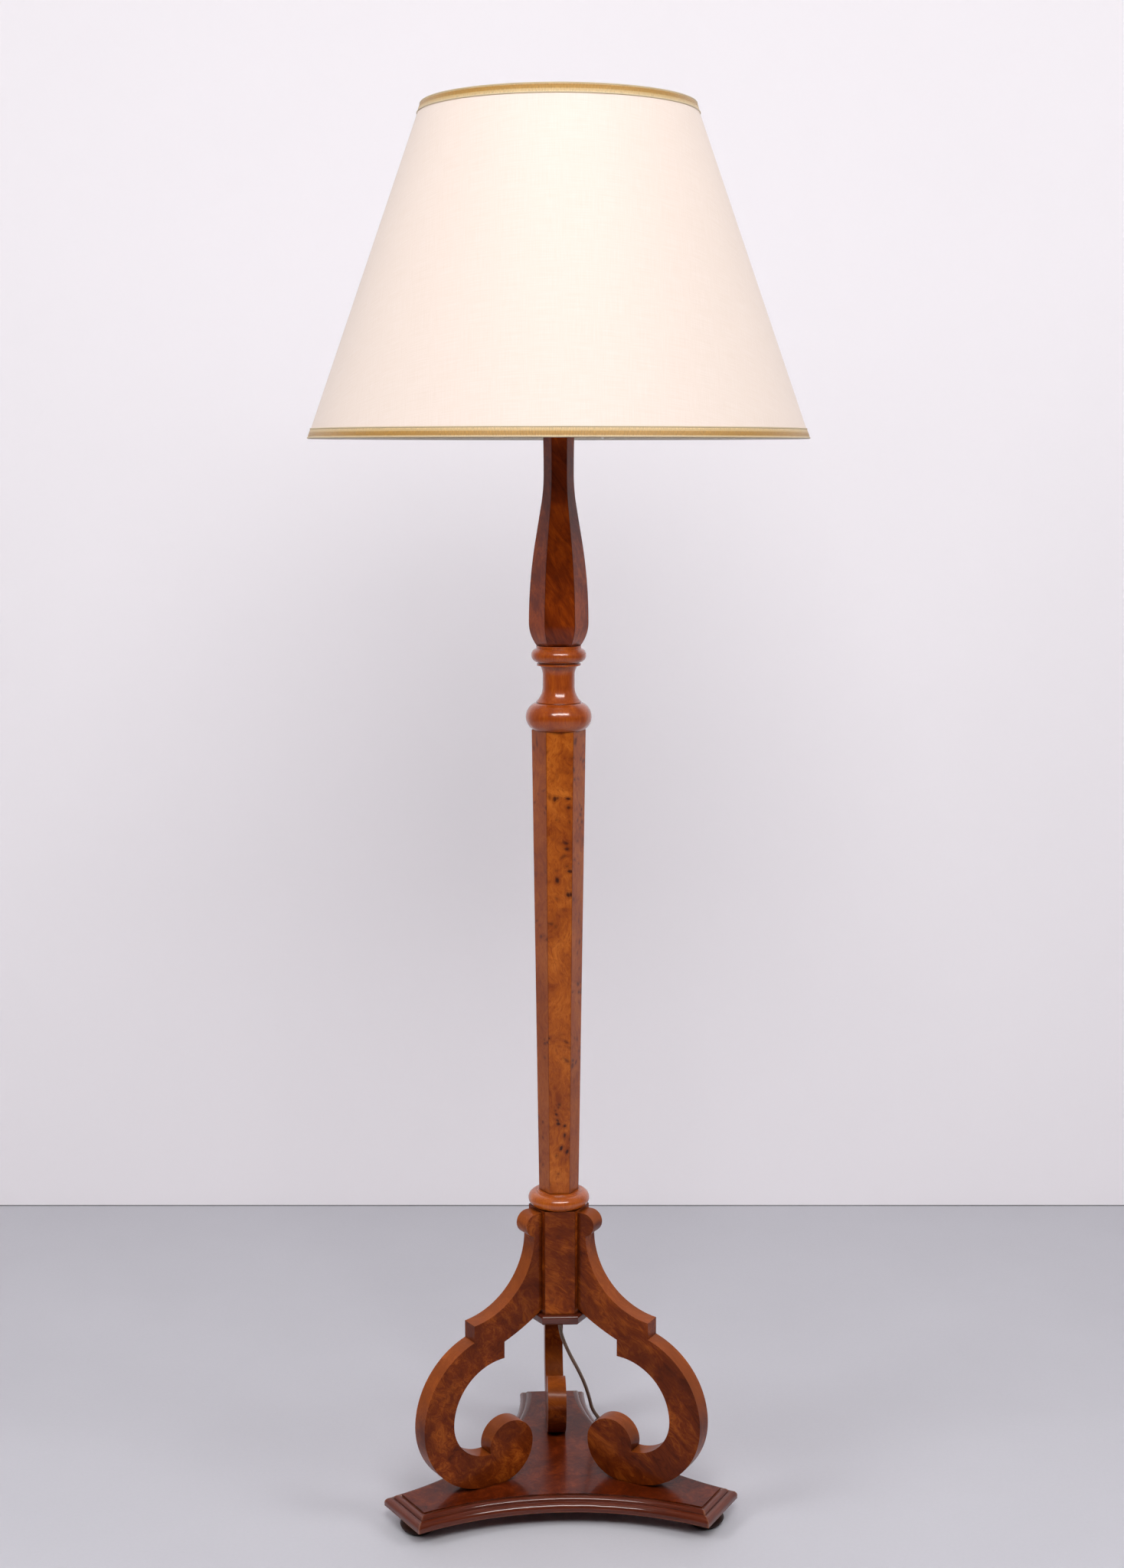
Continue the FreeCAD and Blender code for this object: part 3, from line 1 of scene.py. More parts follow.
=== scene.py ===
"""Floor lamp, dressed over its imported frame: wood, cloth, braid, cable, plug and bulb."""

import math

import bpy
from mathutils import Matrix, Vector


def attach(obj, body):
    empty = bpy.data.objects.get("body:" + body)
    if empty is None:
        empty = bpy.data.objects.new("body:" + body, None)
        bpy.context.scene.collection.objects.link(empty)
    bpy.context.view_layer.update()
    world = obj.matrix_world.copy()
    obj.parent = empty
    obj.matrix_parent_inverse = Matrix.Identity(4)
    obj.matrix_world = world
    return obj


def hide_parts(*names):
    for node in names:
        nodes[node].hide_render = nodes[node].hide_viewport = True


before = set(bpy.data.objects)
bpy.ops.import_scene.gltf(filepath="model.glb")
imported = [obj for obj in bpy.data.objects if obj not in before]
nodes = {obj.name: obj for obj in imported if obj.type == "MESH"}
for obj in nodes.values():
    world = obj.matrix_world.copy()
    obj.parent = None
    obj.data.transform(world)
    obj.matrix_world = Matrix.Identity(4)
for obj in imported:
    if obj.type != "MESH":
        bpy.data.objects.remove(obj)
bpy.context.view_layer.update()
MM = 0.001


# Camera
# These come from fitting the base, the legs and both rims of the shade in the photograph, which is
# 1468 pixels wide and 2048 high. Lengths are in metres, and the pitch is in radians.
CAMERA_DISTANCE = 2.6684
CAMERA_HEIGHT = 1.3232
CAMERA_PITCH = 0.1503
CAMERA_TURN = math.radians(2.5)
CAMERA_ASIDE = 0.0040
FOCAL_PIXELS = 2870.8
PICTURE_HEIGHT = 2048
SENSOR = 36

ahead = Vector((math.sin(CAMERA_TURN), math.cos(CAMERA_TURN), 0))
right = Vector((math.cos(CAMERA_TURN), -math.sin(CAMERA_TURN), 0))
camera_data = bpy.data.cameras.new("camera")
camera_data.sensor_width = SENSOR
camera_data.lens = FOCAL_PIXELS * SENSOR / PICTURE_HEIGHT
camera = bpy.data.objects.new("camera", camera_data)
camera.location = -CAMERA_DISTANCE * ahead + CAMERA_ASIDE * right + Vector((0, 0, CAMERA_HEIGHT))
camera.rotation_euler = (math.pi / 2 - CAMERA_PITCH, 0, -CAMERA_TURN)
bpy.context.scene.collection.objects.link(camera)
bpy.context.scene.camera = camera
bpy.context.scene.view_settings.view_transform = "Standard"


# Material nodes
def linear(red, green, blue):
    """An sRGB colour of 0 to 255 as linear values."""
    values = []
    for part in (red, green, blue):
        part /= 255
        values.append(part / 12.92 if part <= 0.04045 else ((part + 0.055) / 1.055) ** 2.4)
    return (*values, 1.0)


class Nodes:
    """A material's node tree, built by calls that return sockets."""

    def __init__(self, name):
        self.material = bpy.data.materials.new(name)
        self.material.use_nodes = True
        self.tree = self.material.node_tree
        self.tree.nodes.clear()
        self.output = self.tree.nodes.new("ShaderNodeOutputMaterial")
        self.shader = self.tree.nodes.new("ShaderNodeBsdfPrincipled")
        self.tree.links.new(self.shader.outputs[0], self.output.inputs[0])

    def put(self, socket, value):
        if isinstance(value, bpy.types.NodeSocket):
            self.tree.links.new(value, socket)
        else:
            socket.default_value = value

    def set(self, **values):
        for key, value in values.items():
            self.put(self.shader.inputs[key.replace("_", " ")], value)

    def coordinates(self):
        return self.tree.nodes.new("ShaderNodeTexCoord").outputs["Object"]

    def uv(self):
        return self.tree.nodes.new("ShaderNodeTexCoord").outputs["UV"]

    def normal(self):
        return self.tree.nodes.new("ShaderNodeNewGeometry").outputs["Normal"]

    def separate(self, vector):
        node = self.tree.nodes.new("ShaderNodeSeparateXYZ")
        self.put(node.inputs[0], vector)
        return node.outputs

    def combine(self, x, y, z):
        node = self.tree.nodes.new("ShaderNodeCombineXYZ")
        for socket, value in zip(node.inputs, (x, y, z)):
            self.put(socket, value)
        return node.outputs[0]

    def math(self, operation, first, second=0.0, third=0.0):
        node = self.tree.nodes.new("ShaderNodeMath")
        node.operation = operation
        self.put(node.inputs[0], first)
        self.put(node.inputs[1], second)
        self.put(node.inputs[2], third)
        return node.outputs[0]

    def vector(self, operation, first, second=(0, 0, 0)):
        node = self.tree.nodes.new("ShaderNodeVectorMath")
        node.operation = operation
        self.put(node.inputs[0], first)
        self.put(node.inputs[1], second)
        return node.outputs[0]

    def mapping(self, vector, scale=(1, 1, 1), turn=(0, 0, 0), move=(0, 0, 0)):
        node = self.tree.nodes.new("ShaderNodeMapping")
        self.put(node.inputs["Vector"], vector)
        node.inputs["Scale"].default_value = scale
        node.inputs["Rotation"].default_value = turn
        node.inputs["Location"].default_value = move
        return node.outputs[0]

    def noise(self, vector, scale, detail=3.0, roughness=0.55, distortion=0.0):
        node = self.tree.nodes.new("ShaderNodeTexNoise")
        self.put(node.inputs["Vector"], vector)
        node.inputs["Scale"].default_value = scale
        node.inputs["Detail"].default_value = detail
        node.inputs["Roughness"].default_value = roughness
        node.inputs["Distortion"].default_value = distortion
        return node.outputs[0]

    def noise_vector(self, vector, scale):
        node = self.tree.nodes.new("ShaderNodeTexNoise")
        self.put(node.inputs["Vector"], vector)
        node.inputs["Scale"].default_value = scale
        return node.outputs[1]

    def voronoi(self, vector, scale):
        node = self.tree.nodes.new("ShaderNodeTexVoronoi")
        self.put(node.inputs["Vector"], vector)
        node.inputs["Scale"].default_value = scale
        return node.outputs["Distance"]

    def ramp(self, value, stops, smooth=False):
        """Stops are (place, colour or grey)."""
        node = self.tree.nodes.new("ShaderNodeValToRGB")
        node.color_ramp.interpolation = "EASE" if smooth else "LINEAR"
        elements = node.color_ramp.elements
        while len(elements) < len(stops):
            elements.new(0.5)
        for element, (place, colour) in zip(elements, stops):
            element.position = place
            element.color = colour if hasattr(colour, "__len__") else (colour, colour, colour, 1)
        self.put(node.inputs[0], value)
        return node.outputs[0]

    def mix(self, factor, first, second, blend="MIX"):
        node = self.tree.nodes.new("ShaderNodeMix")
        node.data_type = "RGBA"
        node.blend_type = blend
        self.put(node.inputs["Factor"], factor)
        self.put(node.inputs[6], first)
        self.put(node.inputs[7], second)
        return node.outputs[2]

    def range(self, value, low, high):
        node = self.tree.nodes.new("ShaderNodeMapRange")
        self.put(node.inputs["Value"], value)
        node.inputs["To Min"].default_value = low
        node.inputs["To Max"].default_value = high
        return node.outputs[0]

    def edge_mask(self, reach, low, high, inside=False):
        """1 in creases, or along outer edges where inside is set, and 0 on open faces."""
        node = self.tree.nodes.new("ShaderNodeAmbientOcclusion")
        node.samples = 8
        node.inside = inside
        node.inputs["Distance"].default_value = reach
        return self.ramp(node.outputs["AO"], [(low, 1.0), (high, 0.0)])

    def bump(self, height, strength, distance):
        node = self.tree.nodes.new("ShaderNodeBump")
        node.inputs["Strength"].default_value = strength
        node.inputs["Distance"].default_value = distance
        self.put(node.inputs["Height"], height)
        self.put(self.shader.inputs["Normal"], node.outputs[0])


# Veneer
FRONT_FACET = -2
FACET_ANGLE = math.pi / 3
FACET_DRIFT = 0.37
SEAM_SHADE = 0.6
PAINTED_INNER_SHADOW = 0.75
PAINTED_CREASE_SHADE = 0.65
FIBRE_SHARE = 0.14


def facet_place(tree, coordinates, step):
    """For six facets about the axis: the figure moved apart on each, as separate sheets of veneer,
    how far across its facet a point lies, 1 at the corners, and 1 on the front facet alone."""
    x, y, _ = tree.separate(tree.coordinates())
    sixths = tree.math("DIVIDE", tree.math("ARCTAN2", y, x), FACET_ANGLE)
    facet = tree.math("FLOOR", sixths)
    jump = tree.math("MULTIPLY", facet, step)
    offset = tree.math("SUBTRACT", tree.math("SUBTRACT", sixths, facet), 0.5)
    offset = tree.math("MULTIPLY", offset, FACET_ANGLE)
    across = tree.math("DIVIDE", tree.math("TANGENT", offset), math.tan(FACET_ANGLE / 2))
    across = tree.math("ABSOLUTE", across)
    drift = tree.combine(jump, tree.math("MULTIPLY", jump, FACET_DRIFT), jump)
    return tree.vector("ADD", coordinates, drift), across, tree.math("COMPARE", facet, FRONT_FACET, 0.5)


def board_edge(tree):
    """For a board that stands radially about the axis: 1 on its upward edges alone, for painted light from above,
    and 1 high up on the edges that face the axis, less low down on them, for painted shadow under the block."""
    x, y, z = tree.separate(tree.coordinates())
    normal_x, normal_y, normal_z = tree.separate(tree.normal())
    radius = tree.math("SQRT", tree.math("ADD", tree.math("MULTIPLY", x, x), tree.math("MULTIPLY", y, y)))
    sideways = tree.math("SUBTRACT", tree.math("MULTIPLY", normal_x, y), tree.math("MULTIPLY", normal_y, x))
    sideways = tree.math("ABSOLUTE", tree.math("DIVIDE", sideways, radius))
    outward = tree.math("ADD", tree.math("MULTIPLY", normal_x, x), tree.math("MULTIPLY", normal_y, y))
    inward = tree.math("MULTIPLY", tree.math("DIVIDE", outward, radius), -1.0)
    upper = tree.math("MULTIPLY", tree.ramp(sideways, [(0.3, 1.0), (0.6, 0.0)]),
                      tree.ramp(normal_z, [(0.0, 0.0), (0.35, 1.0)]))
    high_up = tree.ramp(z, [(0.12, 0.45), (0.14, 0.25), (0.15, 0.25), (0.16, 1.0)])
    inner = tree.math("MULTIPLY", tree.ramp(inward, [(0.4, 0.0), (0.7, 1.0)]), high_up)
    return upper, inner


def burl(name, tones, knots=1.0, scale=1.0, facets=0.0, stretch=(1, 1, 1), turn=(0, 0, 0), clouds=0.55,
         flecks=0.3, rough=(0.26, 0.36), coat=0.12, coat_roughness=0.12, seed=0.0, contrast=0.12, relief=0.10,
         cluster_from=0.54, painted_side_shade=0.0, spots=110, spot_size=1.0, broad=0.0, painted_edge_light=0.0):
    """Burr veneer: clouded figure, fine fibres, and clusters of small dark knots with rings round them.
    Tones are knot, dark, middle and light."""
    tree = Nodes(name)
    knot, dark, middle, light = tones
    place = tree.mapping(tree.coordinates(), turn=turn)
    place = tree.mapping(place, scale=stretch, move=(seed, seed * 0.7, seed * 1.3))
    if facets:
        place, across, front = facet_place(tree, place, facets)
    swirl = tree.vector("SUBTRACT", tree.noise_vector(place, 22 * scale), (0.5, 0.5, 0.5))
    bent = tree.vector("ADD", place, tree.vector("MULTIPLY", swirl, (0.04, 0.04, 0.04)))

    cloud = tree.noise(bent, 20 * scale, 5, 0.6, 0.8)
    figure = tree.noise(tree.mapping(bent, scale=(1, 1, 0.45)), 110 * scale, 5, 0.65, 1.2)
    fibre = tree.noise(tree.mapping(bent, scale=(1, 1, 0.06)), 800, 3, 0.6)
    body = tree.math("ADD", tree.math("MULTIPLY", cloud, clouds),
                     tree.math("MULTIPLY", figure, 1 - FIBRE_SHARE - clouds))
    body = tree.math("ADD", body, tree.math("MULTIPLY", fibre, FIBRE_SHARE))
    base = tree.ramp(body, [(0.50 - contrast, dark), (0.50, middle), (0.50 + contrast, light)])
    fleck = tree.noise(tree.mapping(bent, scale=(1, 1, 0.3), turn=(0.3, 0.5, 0.2)), 420 * scale, 2, 0.5)
    fleck = tree.math("MULTIPLY", tree.ramp(fleck, [(0.56, 0.0), (0.66, 1.0)]), flecks)
    base = tree.mix(fleck, base, dark)

    spot = tree.math("DIVIDE", tree.voronoi(bent, spots * scale), spot_size)
    cluster = tree.noise(place, 19 * scale, 2, 0.5)
    cluster = tree.ramp(cluster, [(cluster_from, 0.0), (cluster_from + 0.1, 1.0)])
    pupil = tree.math("MULTIPLY", tree.ramp(spot, [(0.08, 1.0), (0.26, 0.0)], True), cluster)
    halo = tree.math("MULTIPLY", tree.ramp(spot, [(0.15, 1.0), (0.60, 0.0)], True), cluster)
    rings = tree.range(tree.math("SINE", tree.math("MULTIPLY", spot, 30.0)), 0.3, 0.8)
    halo = tree.math("MULTIPLY", halo, rings)
    colour = tree.mix(tree.math("MULTIPLY", halo, knots * 0.9), base, dark)
    colour = tree.mix(tree.math("MULTIPLY", pupil, knots), colour, knot)

    if facets:
        seam = tree.ramp(across, [(0.955, 0.0), (0.99, 1.0)])
        colour = tree.mix(tree.math("MULTIPLY", seam, SEAM_SHADE), colour, knot)
        # Painted shade: every facet but the front one is darkened, as the sides are lit less.
        sides = tree.math("SUBTRACT", 1.0, front)
        colour = tree.mix(tree.math("MULTIPLY", sides, painted_side_shade), colour, dark)
    if broad:
        area = tree.ramp(tree.noise(place, 10, 2, 0.5), [(0.40, 0.0), (0.60, 1.0)])
        colour = tree.mix(tree.math("MULTIPLY", area, broad), colour, dark)
    # Painted light on the boards' upward edges, and painted shadow high up on the edges that face the axis.
    if painted_edge_light:
        upper, inner = board_edge(tree)
        colour = tree.mix(tree.math("MULTIPLY", upper, painted_edge_light), colour, light)
        colour = tree.mix(tree.math("MULTIPLY", inner, PAINTED_INNER_SHADOW), colour, knot)
    # Painted shade: creases and joins between parts are darkened towards the knot tone, which also stands in part
    # for the dark lines of the joints.
    crease = tree.edge_mask(0.006, 0.40, 0.80)
    colour = tree.mix(tree.math("MULTIPLY", crease, PAINTED_CREASE_SHADE), colour, knot)
    tree.set(Base_Color=colour, Roughness=tree.range(figure, *rough), Coat_Weight=coat,
             Coat_Roughness=coat_roughness, Specular_IOR_Level=0.08)
    tree.bump(tree.math("ADD", fibre, tree.math("MULTIPLY", pupil, -0.6)), relief, 0.0003)
    return tree.material


# Plain wood
BAND_SCALE, STREAK_SCALE, PORE_SCALE = 56, 640, 1440
STREAK_SHARE = 0.5
PORE_SHADE = 0.35
WORN = linear(176, 116, 84)
ARC_GRAIN = 0.36


def straight(name, tones, place_of, along=0.05, rough=(0.25, 0.36), coat=0.3, wear=0.0, coat_roughness=0.14,
             specular=0.05):
    """Plain hardwood: long fibres and pores along the piece. place_of gives coordinates whose last part
    runs with the grain."""
    tree = Nodes(name)
    pore, dark, middle, light = tones
    place = tree.mapping(place_of(tree), scale=(1, 1, along))
    band = tree.noise(place, BAND_SCALE, 4, 0.55, 0.6)
    fibre = tree.noise(place, STREAK_SCALE, 4, 0.6)
    body = tree.math("ADD", tree.math("MULTIPLY", band, 1 - STREAK_SHARE),
                     tree.math("MULTIPLY", fibre, STREAK_SHARE))
    colour = tree.ramp(body, [(0.32, dark), (0.5, middle), (0.68, light)])
    pores = tree.ramp(tree.noise(place, PORE_SCALE, 1, 0.4), [(0.62, 0.0), (0.72, 1.0)])
    colour = tree.mix(tree.math("MULTIPLY", pores, PORE_SHADE), colour, pore)
    # Painted shade: creases and joins between parts are darkened towards the pore tone, which also stands in part
    # for the dark lines of the joints.
    crease = tree.edge_mask(0.005, 0.40, 0.85)
    colour = tree.mix(tree.math("MULTIPLY", crease, PAINTED_CREASE_SHADE), colour, pore)
    if wear:
        patches = tree.ramp(tree.noise(tree.coordinates(), 45, 3, 0.6), [(0.42, 0.3), (0.62, 1.0)])
        edges = tree.math("MULTIPLY", tree.edge_mask(0.0016, 0.55, 0.85, True), patches)
        colour = tree.mix(tree.math("MULTIPLY", edges, wear), colour, WORN)
    tree.set(Base_Color=colour, Roughness=tree.range(fibre, *rough), Coat_Weight=coat,
             Coat_Roughness=coat_roughness, Specular_IOR_Level=specular)
    tree.bump(fibre, 0.03, 0.0003)
    return tree.material


def upright(tree):
    return tree.coordinates()


def across(angle):
    """Grain along a straight stick that lies across an arm at this angle."""
    def place(tree):
        return swap(tree, tree.mapping(tree.coordinates(), turn=(0, 0, -math.radians(angle))))
    return place


def swap(tree, vector):
    """Puts the second coordinate last, so the grain runs along it."""
    x, y, z = tree.separate(vector)
    return tree.combine(x, z, y)


def round_centre(centre_x, centre_y):
    """Grain that follows an arc about a centre."""
    def place(tree):
        x, y, z = tree.separate(tree.coordinates())
        x = tree.math("SUBTRACT", x, centre_x)
        y = tree.math("SUBTRACT", y, centre_y)
        radius = tree.math("SQRT", tree.math("ADD", tree.math("MULTIPLY", x, x), tree.math("MULTIPLY", y, y)))
        turn = tree.math("ARCTAN2", tree.math("MULTIPLY", y, -1.0), tree.math("MULTIPLY", x, -1.0))
        return tree.combine(radius, z, tree.math("MULTIPLY", turn, ARC_GRAIN))
    return place


# Other surfaces and meshes
GRAIN_SCALE = 600
GRAIN_DEPTH = 0.00005
GRAIN_VARIATION = 0.08


def shades(colour, variation):
    """A colour made darker and lighter by a share of itself."""
    darker = tuple(part * (1 - variation) for part in colour[:3]) + (1.0,)
    lighter = tuple(min(1.0, part * (1 + variation)) for part in colour[:3]) + (1.0,)
    return darker, lighter


def plain(name, colour, roughness, metallic=0.0, **more):
    """A moulded or metal surface with a fine uneven finish."""
    tree = Nodes(name)
    speck = tree.noise(tree.coordinates(), GRAIN_SCALE, 4, 0.6)
    smear = tree.noise(tree.coordinates(), GRAIN_SCALE / 5, 3)
    darker, lighter = shades(colour, GRAIN_VARIATION)
    tree.set(Base_Color=tree.ramp(speck, [(0.35, darker), (0.65, lighter)]), Metallic=metallic,
             Roughness=tree.range(smear, roughness * 0.8, roughness * 1.25), **more)
    tree.bump(speck, 0.2, GRAIN_DEPTH)
    return tree.material


def dress(material, *names):
    for name in names:
        mesh = nodes[name].data
        mesh.materials.clear()
        mesh.materials.append(material)


def soften(width, *names, segments=2):
    """Rounds a CAD node's edges with modifiers, and keeps its large faces flat."""
    for name in names:
        weld = nodes[name].modifiers.new("weld", "WELD")
        weld.merge_threshold = 1e-6
        bevel = nodes[name].modifiers.new("bevel", "BEVEL")
        bevel.width = width
        bevel.segments = segments
        bevel.limit_method = "ANGLE"
        bevel.angle_limit = math.radians(28)
        bevel.use_clamp_overlap = True
        flatten = nodes[name].modifiers.new("flatten", "WEIGHTED_NORMAL")
        flatten.weight = 100


def mesh_object(name, verts, faces, material, body, uvs=None):
    """A smooth-shaded piece that rides on a body."""
    mesh = bpy.data.meshes.new(name)
    mesh.from_pydata(verts, [], faces)
    if uvs:
        layer = mesh.uv_layers.new(name="flat")
        for loop in mesh.loops:
            layer.data[loop.index].uv = uvs[loop.index]
    for polygon in mesh.polygons:
        polygon.use_smooth = True
    mesh.materials.append(material)
    thing = bpy.data.objects.new(name, mesh)
    bpy.context.scene.collection.objects.link(thing)
    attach(thing, body)
    return thing


# Wood: tones are knot or pore, dark, middle and light.
COLUMN_TONES = (linear(58, 20, 4), linear(128, 54, 12), linear(170, 84, 20), linear(198, 108, 34))
LEG_TONES = (linear(34, 11, 2), linear(78, 27, 5), linear(124, 51, 11), linear(180, 90, 27))
# The vase's tones are darker than the column's: in part its own darker veneer, in part painted shade for the lamp
# shade's shadow over it.
VASE_TONES = (linear(32, 9, 1), linear(76, 23, 1), linear(116, 41, 2), linear(158, 66, 6))
BASE_TONES = (linear(34, 9, 3), linear(64, 19, 4), linear(98, 34, 9), linear(134, 54, 19))
TURNED_TONES = (linear(84, 32, 2), linear(130, 50, 4), linear(156, 66, 7), linear(180, 86, 14))
# The collar's tones are the turned wood's made lighter: in part its own lighter colour, in part painted light on its
# upward-facing top.
COLLAR_TONES = (linear(98, 40, 4), linear(150, 64, 9), linear(180, 84, 16), linear(202, 106, 26))
MOULDING_TONES = (linear(42, 14, 7), linear(70, 26, 13), linear(94, 38, 21), linear(114, 51, 30))
FOOT_TONES = (linear(22, 12, 9), linear(34, 18, 13), linear(46, 25, 17), linear(58, 33, 22))
DOWEL_TONES = (linear(150, 120, 80), linear(190, 160, 115), linear(205, 178, 132), linear(218, 192, 148))

column_veneer = burl("column_veneer", COLUMN_TONES, knots=1.0, facets=0.31, coat=0.4, flecks=0.45,
                     cluster_from=0.49, painted_side_shade=0.45, spots=88, spot_size=1.5)
leg_veneer = burl("leg_veneer", LEG_TONES, knots=0.15, scale=1.6, seed=0.4, stretch=(1, 1, 0.5),
                  turn=(0.5, 0.8, 0.0), clouds=0.52, flecks=0.35, rough=(0.30, 0.40), contrast=0.13, broad=0.6,
                  painted_edge_light=0.45)
block_veneer = burl("block_veneer", LEG_TONES, knots=0.1, scale=1.3, facets=0.23, seed=0.9,
                    stretch=(1, 1, 0.45), turn=(0.2, 1.05, 0.0), clouds=0.50, flecks=0.35, contrast=0.13,
                    broad=0.42)
vase_veneer = burl("vase_veneer", VASE_TONES, knots=0.25, scale=0.8, facets=0.27, seed=1.7,
                   stretch=(1, 1, 0.5), turn=(0.0, 0.5, 0.0), coat=0.35)
base_veneer = burl("base_veneer", BASE_TONES, knots=0.05, seed=2.3, clouds=0.45, flecks=0.12,
                   rough=(0.28, 0.34), coat=0.28, coat_roughness=0.15, relief=0.01, contrast=0.13)
turned_wood = straight("turned_wood", TURNED_TONES, upright, along=0.12, rough=(0.34, 0.44), coat=1.0,
                       specular=0.12)
collar_wood = straight("collar_wood", COLLAR_TONES, upright, along=0.12, rough=(0.34, 0.44), coat=1.0,
                       coat_roughness=0.16, specular=0.16)
foot_wood = straight("foot_wood", FOOT_TONES, upright, along=0.1, rough=(0.4, 0.5), coat=0.1)
dowel_wood = straight("dowel_wood", DOWEL_TONES, upright, along=0.3, rough=(0.6, 0.7), coat=0.0)

dress(column_veneer, "column_shaft")
dress(leg_veneer, "leg_rear", "leg_left", "leg_right")
dress(block_veneer, "leg_block")
dress(base_veneer, "base_panel")
dress(collar_wood, "collar")
dress(turned_wood, "neck_turning")
dress(foot_wood, "foot_rear", "foot_left", "foot_right")
dress(dowel_wood, "leg_dowels")

# Mouldings, with the grain along each. Each side's curve has its centre outside the base.
SIDE_CENTRE = 0.451
MOULDING_FINISH = {"coat": 0.8, "wear": 0.6, "coat_roughness": 0.10}
for index, angle in enumerate((150, 270, 30), start=1):
    turn = math.radians(angle)
    grain = round_centre(SIDE_CENTRE * math.cos(turn), SIDE_CENTRE * math.sin(turn))
    dress(straight(f"side_moulding_wood_{index}", MOULDING_TONES, grain, **MOULDING_FINISH),
          f"side_moulding_{index}")
for index, angle in enumerate((90, 210, 330), start=1):
    dress(straight(f"end_moulding_wood_{index}", MOULDING_TONES, across(angle), **MOULDING_FINISH),
          f"end_moulding_{index}")
dress(straight("plate_wood", MOULDING_TONES, across(90), coat=1.0, wear=0.4, coat_roughness=0.09),
      "bottom_plate")

soften(0.0009, "leg_rear", "leg_left", "leg_right", "leg_block")
soften(0.0006, "column_shaft", "collar", "neck_turning", "base_panel", "bottom_plate",
       "side_moulding_1", "side_moulding_2", "side_moulding_3", "end_moulding_1", "end_moulding_2", "end_moulding_3",
       "foot_rear", "foot_left", "foot_right")

# Vase, with crisp eased corners. Keys are (radius over the corners, rise above the foot) in millimetres.
VASE_FOOT = 1.0896
VASE_EASE = 0.0008
FLAT_SHARE = math.cos(math.pi / 6)
VASE_KEYS = [(27.0, 0.0), (36.4, 27.9), (28.0, 128.9), (21.4, 168.9), (18.3, 206.9), (19.6, 279.9)]


def upright_arc(upright_end, other, steps):
    """Points from one end of an arc to the other; the arc runs upright at the first."""
    run, rise = other[0] - upright_end[0], other[1] - upright_end[1]
    radius = (run * run + rise * rise) / (2 * abs(run))
    points = []
    for step in range(steps + 1):
        climb = rise * step / steps
        fall = radius - math.sqrt(radius * radius - climb * climb)
        points.append((upright_end[0] + math.copysign(fall, run), upright_end[1] + climb))
    return points


def vase_profile():
    """Distance of the facets from the axis and height, in metres, from the foot to the top."""
    foot, belly, slope_foot, slope_top, throat, top = [(radius * FLAT_SHARE * MM, VASE_FOOT + rise * MM)
                                                       for radius, rise in VASE_KEYS]
    return (upright_arc(belly, foot, 12)[::-1] + upright_arc(belly, slope_foot, 24)[1:]
            + upright_arc(throat, slope_top, 12)[::-1] + upright_arc(throat, top, 14)[1:])


def hex_column(name, profile, ease, material, body):
    """Six facets that follow a profile, with eased corners and exact normals, closed at both ends."""
    verts, normals, faces = [], [], []
    fan = (-30, -18, -6, 6, 18, 30)
    count = 6 * len(fan)
    for index, (flat, height) in enumerate(profile):
        before, after = profile[max(index - 1, 0)], profile[min(index + 1, len(profile) - 1)]
        slope = (after[0] - before[0]) / (after[1] - before[1])
        for corner in range(6):
            corner_turn = math.radians(60 * corner)
            centre = (flat - ease) / FLAT_SHARE
            for lean in fan:
                turn = corner_turn + math.radians(lean)
                verts.append((centre * math.cos(corner_turn) + ease * math.cos(turn),
                              centre * math.sin(corner_turn) + ease * math.sin(turn), height))
                normals.append(Vector((math.cos(turn), math.sin(turn), -slope)).normalized())
    for row in range(len(profile) - 1):
        for step in range(count):
            after = (step + 1) % count
            low, high = row * count, (row + 1) * count
            faces.append((low + step, low + after, high + after, high + step))
    last = (len(profile) - 1) * count
    faces.append(tuple(range(count - 1, -1, -1)))
    faces.append(tuple(range(last, last + count)))
    thing = mesh_object(name, verts, faces, material, body)
    mesh = thing.data
    loops = []
    for polygon in mesh.polygons:
        for loop in polygon.loop_indices:
            cap = len(polygon.vertices) > 4
            loops.append(polygon.normal if cap else normals[mesh.loops[loop].vertex_index])
    mesh.normals_split_custom_set(loops)
    return thing


vase = hex_column("vase", vase_profile(), VASE_EASE, vase_veneer, "stand")
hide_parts("vase_turning")

# Metal, plastic and glass
dress(plain("brass", linear(214, 176, 98), 0.30, 1.0), "brass_cup", "holder_cap", "holder_skirt", "screw_shell",
      "centre_contact", "lower_shade_ring", "upper_shade_ring", "cord_bush")
dress(plain("zinc", linear(182, 180, 174), 0.38, 1.0), "leg_screws", "plate_screws", "threaded_tube", "lock_nut",
      "terminal_screws", "switch_spindle")
dress(plain("insulator", linear(228, 222, 208), 0.22, Coat_Weight=0.5), "holder_insert", "bulb_contact")
dress(plain("key", linear(46, 30, 22), 0.25), "switch_key")
dress(plain("bulb_metal", linear(200, 200, 196), 0.34, 1.0), "bulb_cap")
dress(plain("white_enamel", linear(226, 222, 208), 0.42), "top_ring", "bottom_ring", "carrier_hub",
      "carrier_arms")
soften(0.0004, "brass_cup", "holder_cap", "holder_skirt", "lower_shade_ring", "upper_shade_ring", "cord_bush",
       "switch_key", "lock_nut", "holder_insert")

glass = Nodes("bulb_glass")
frost = glass.noise(glass.coordinates(), 900, 3)
glass.set(Base_Color=glass.ramp(frost, [(0.3, linear(236, 235, 230)), (0.7, linear(246, 245, 241))]), Roughness=0.32,
          Transmission_Weight=0.35, Subsurface_Weight=0.3, IOR=1.46)
glass.bump(frost, 0.1, 0.0001)
dress(glass.material, "bulb_glass")

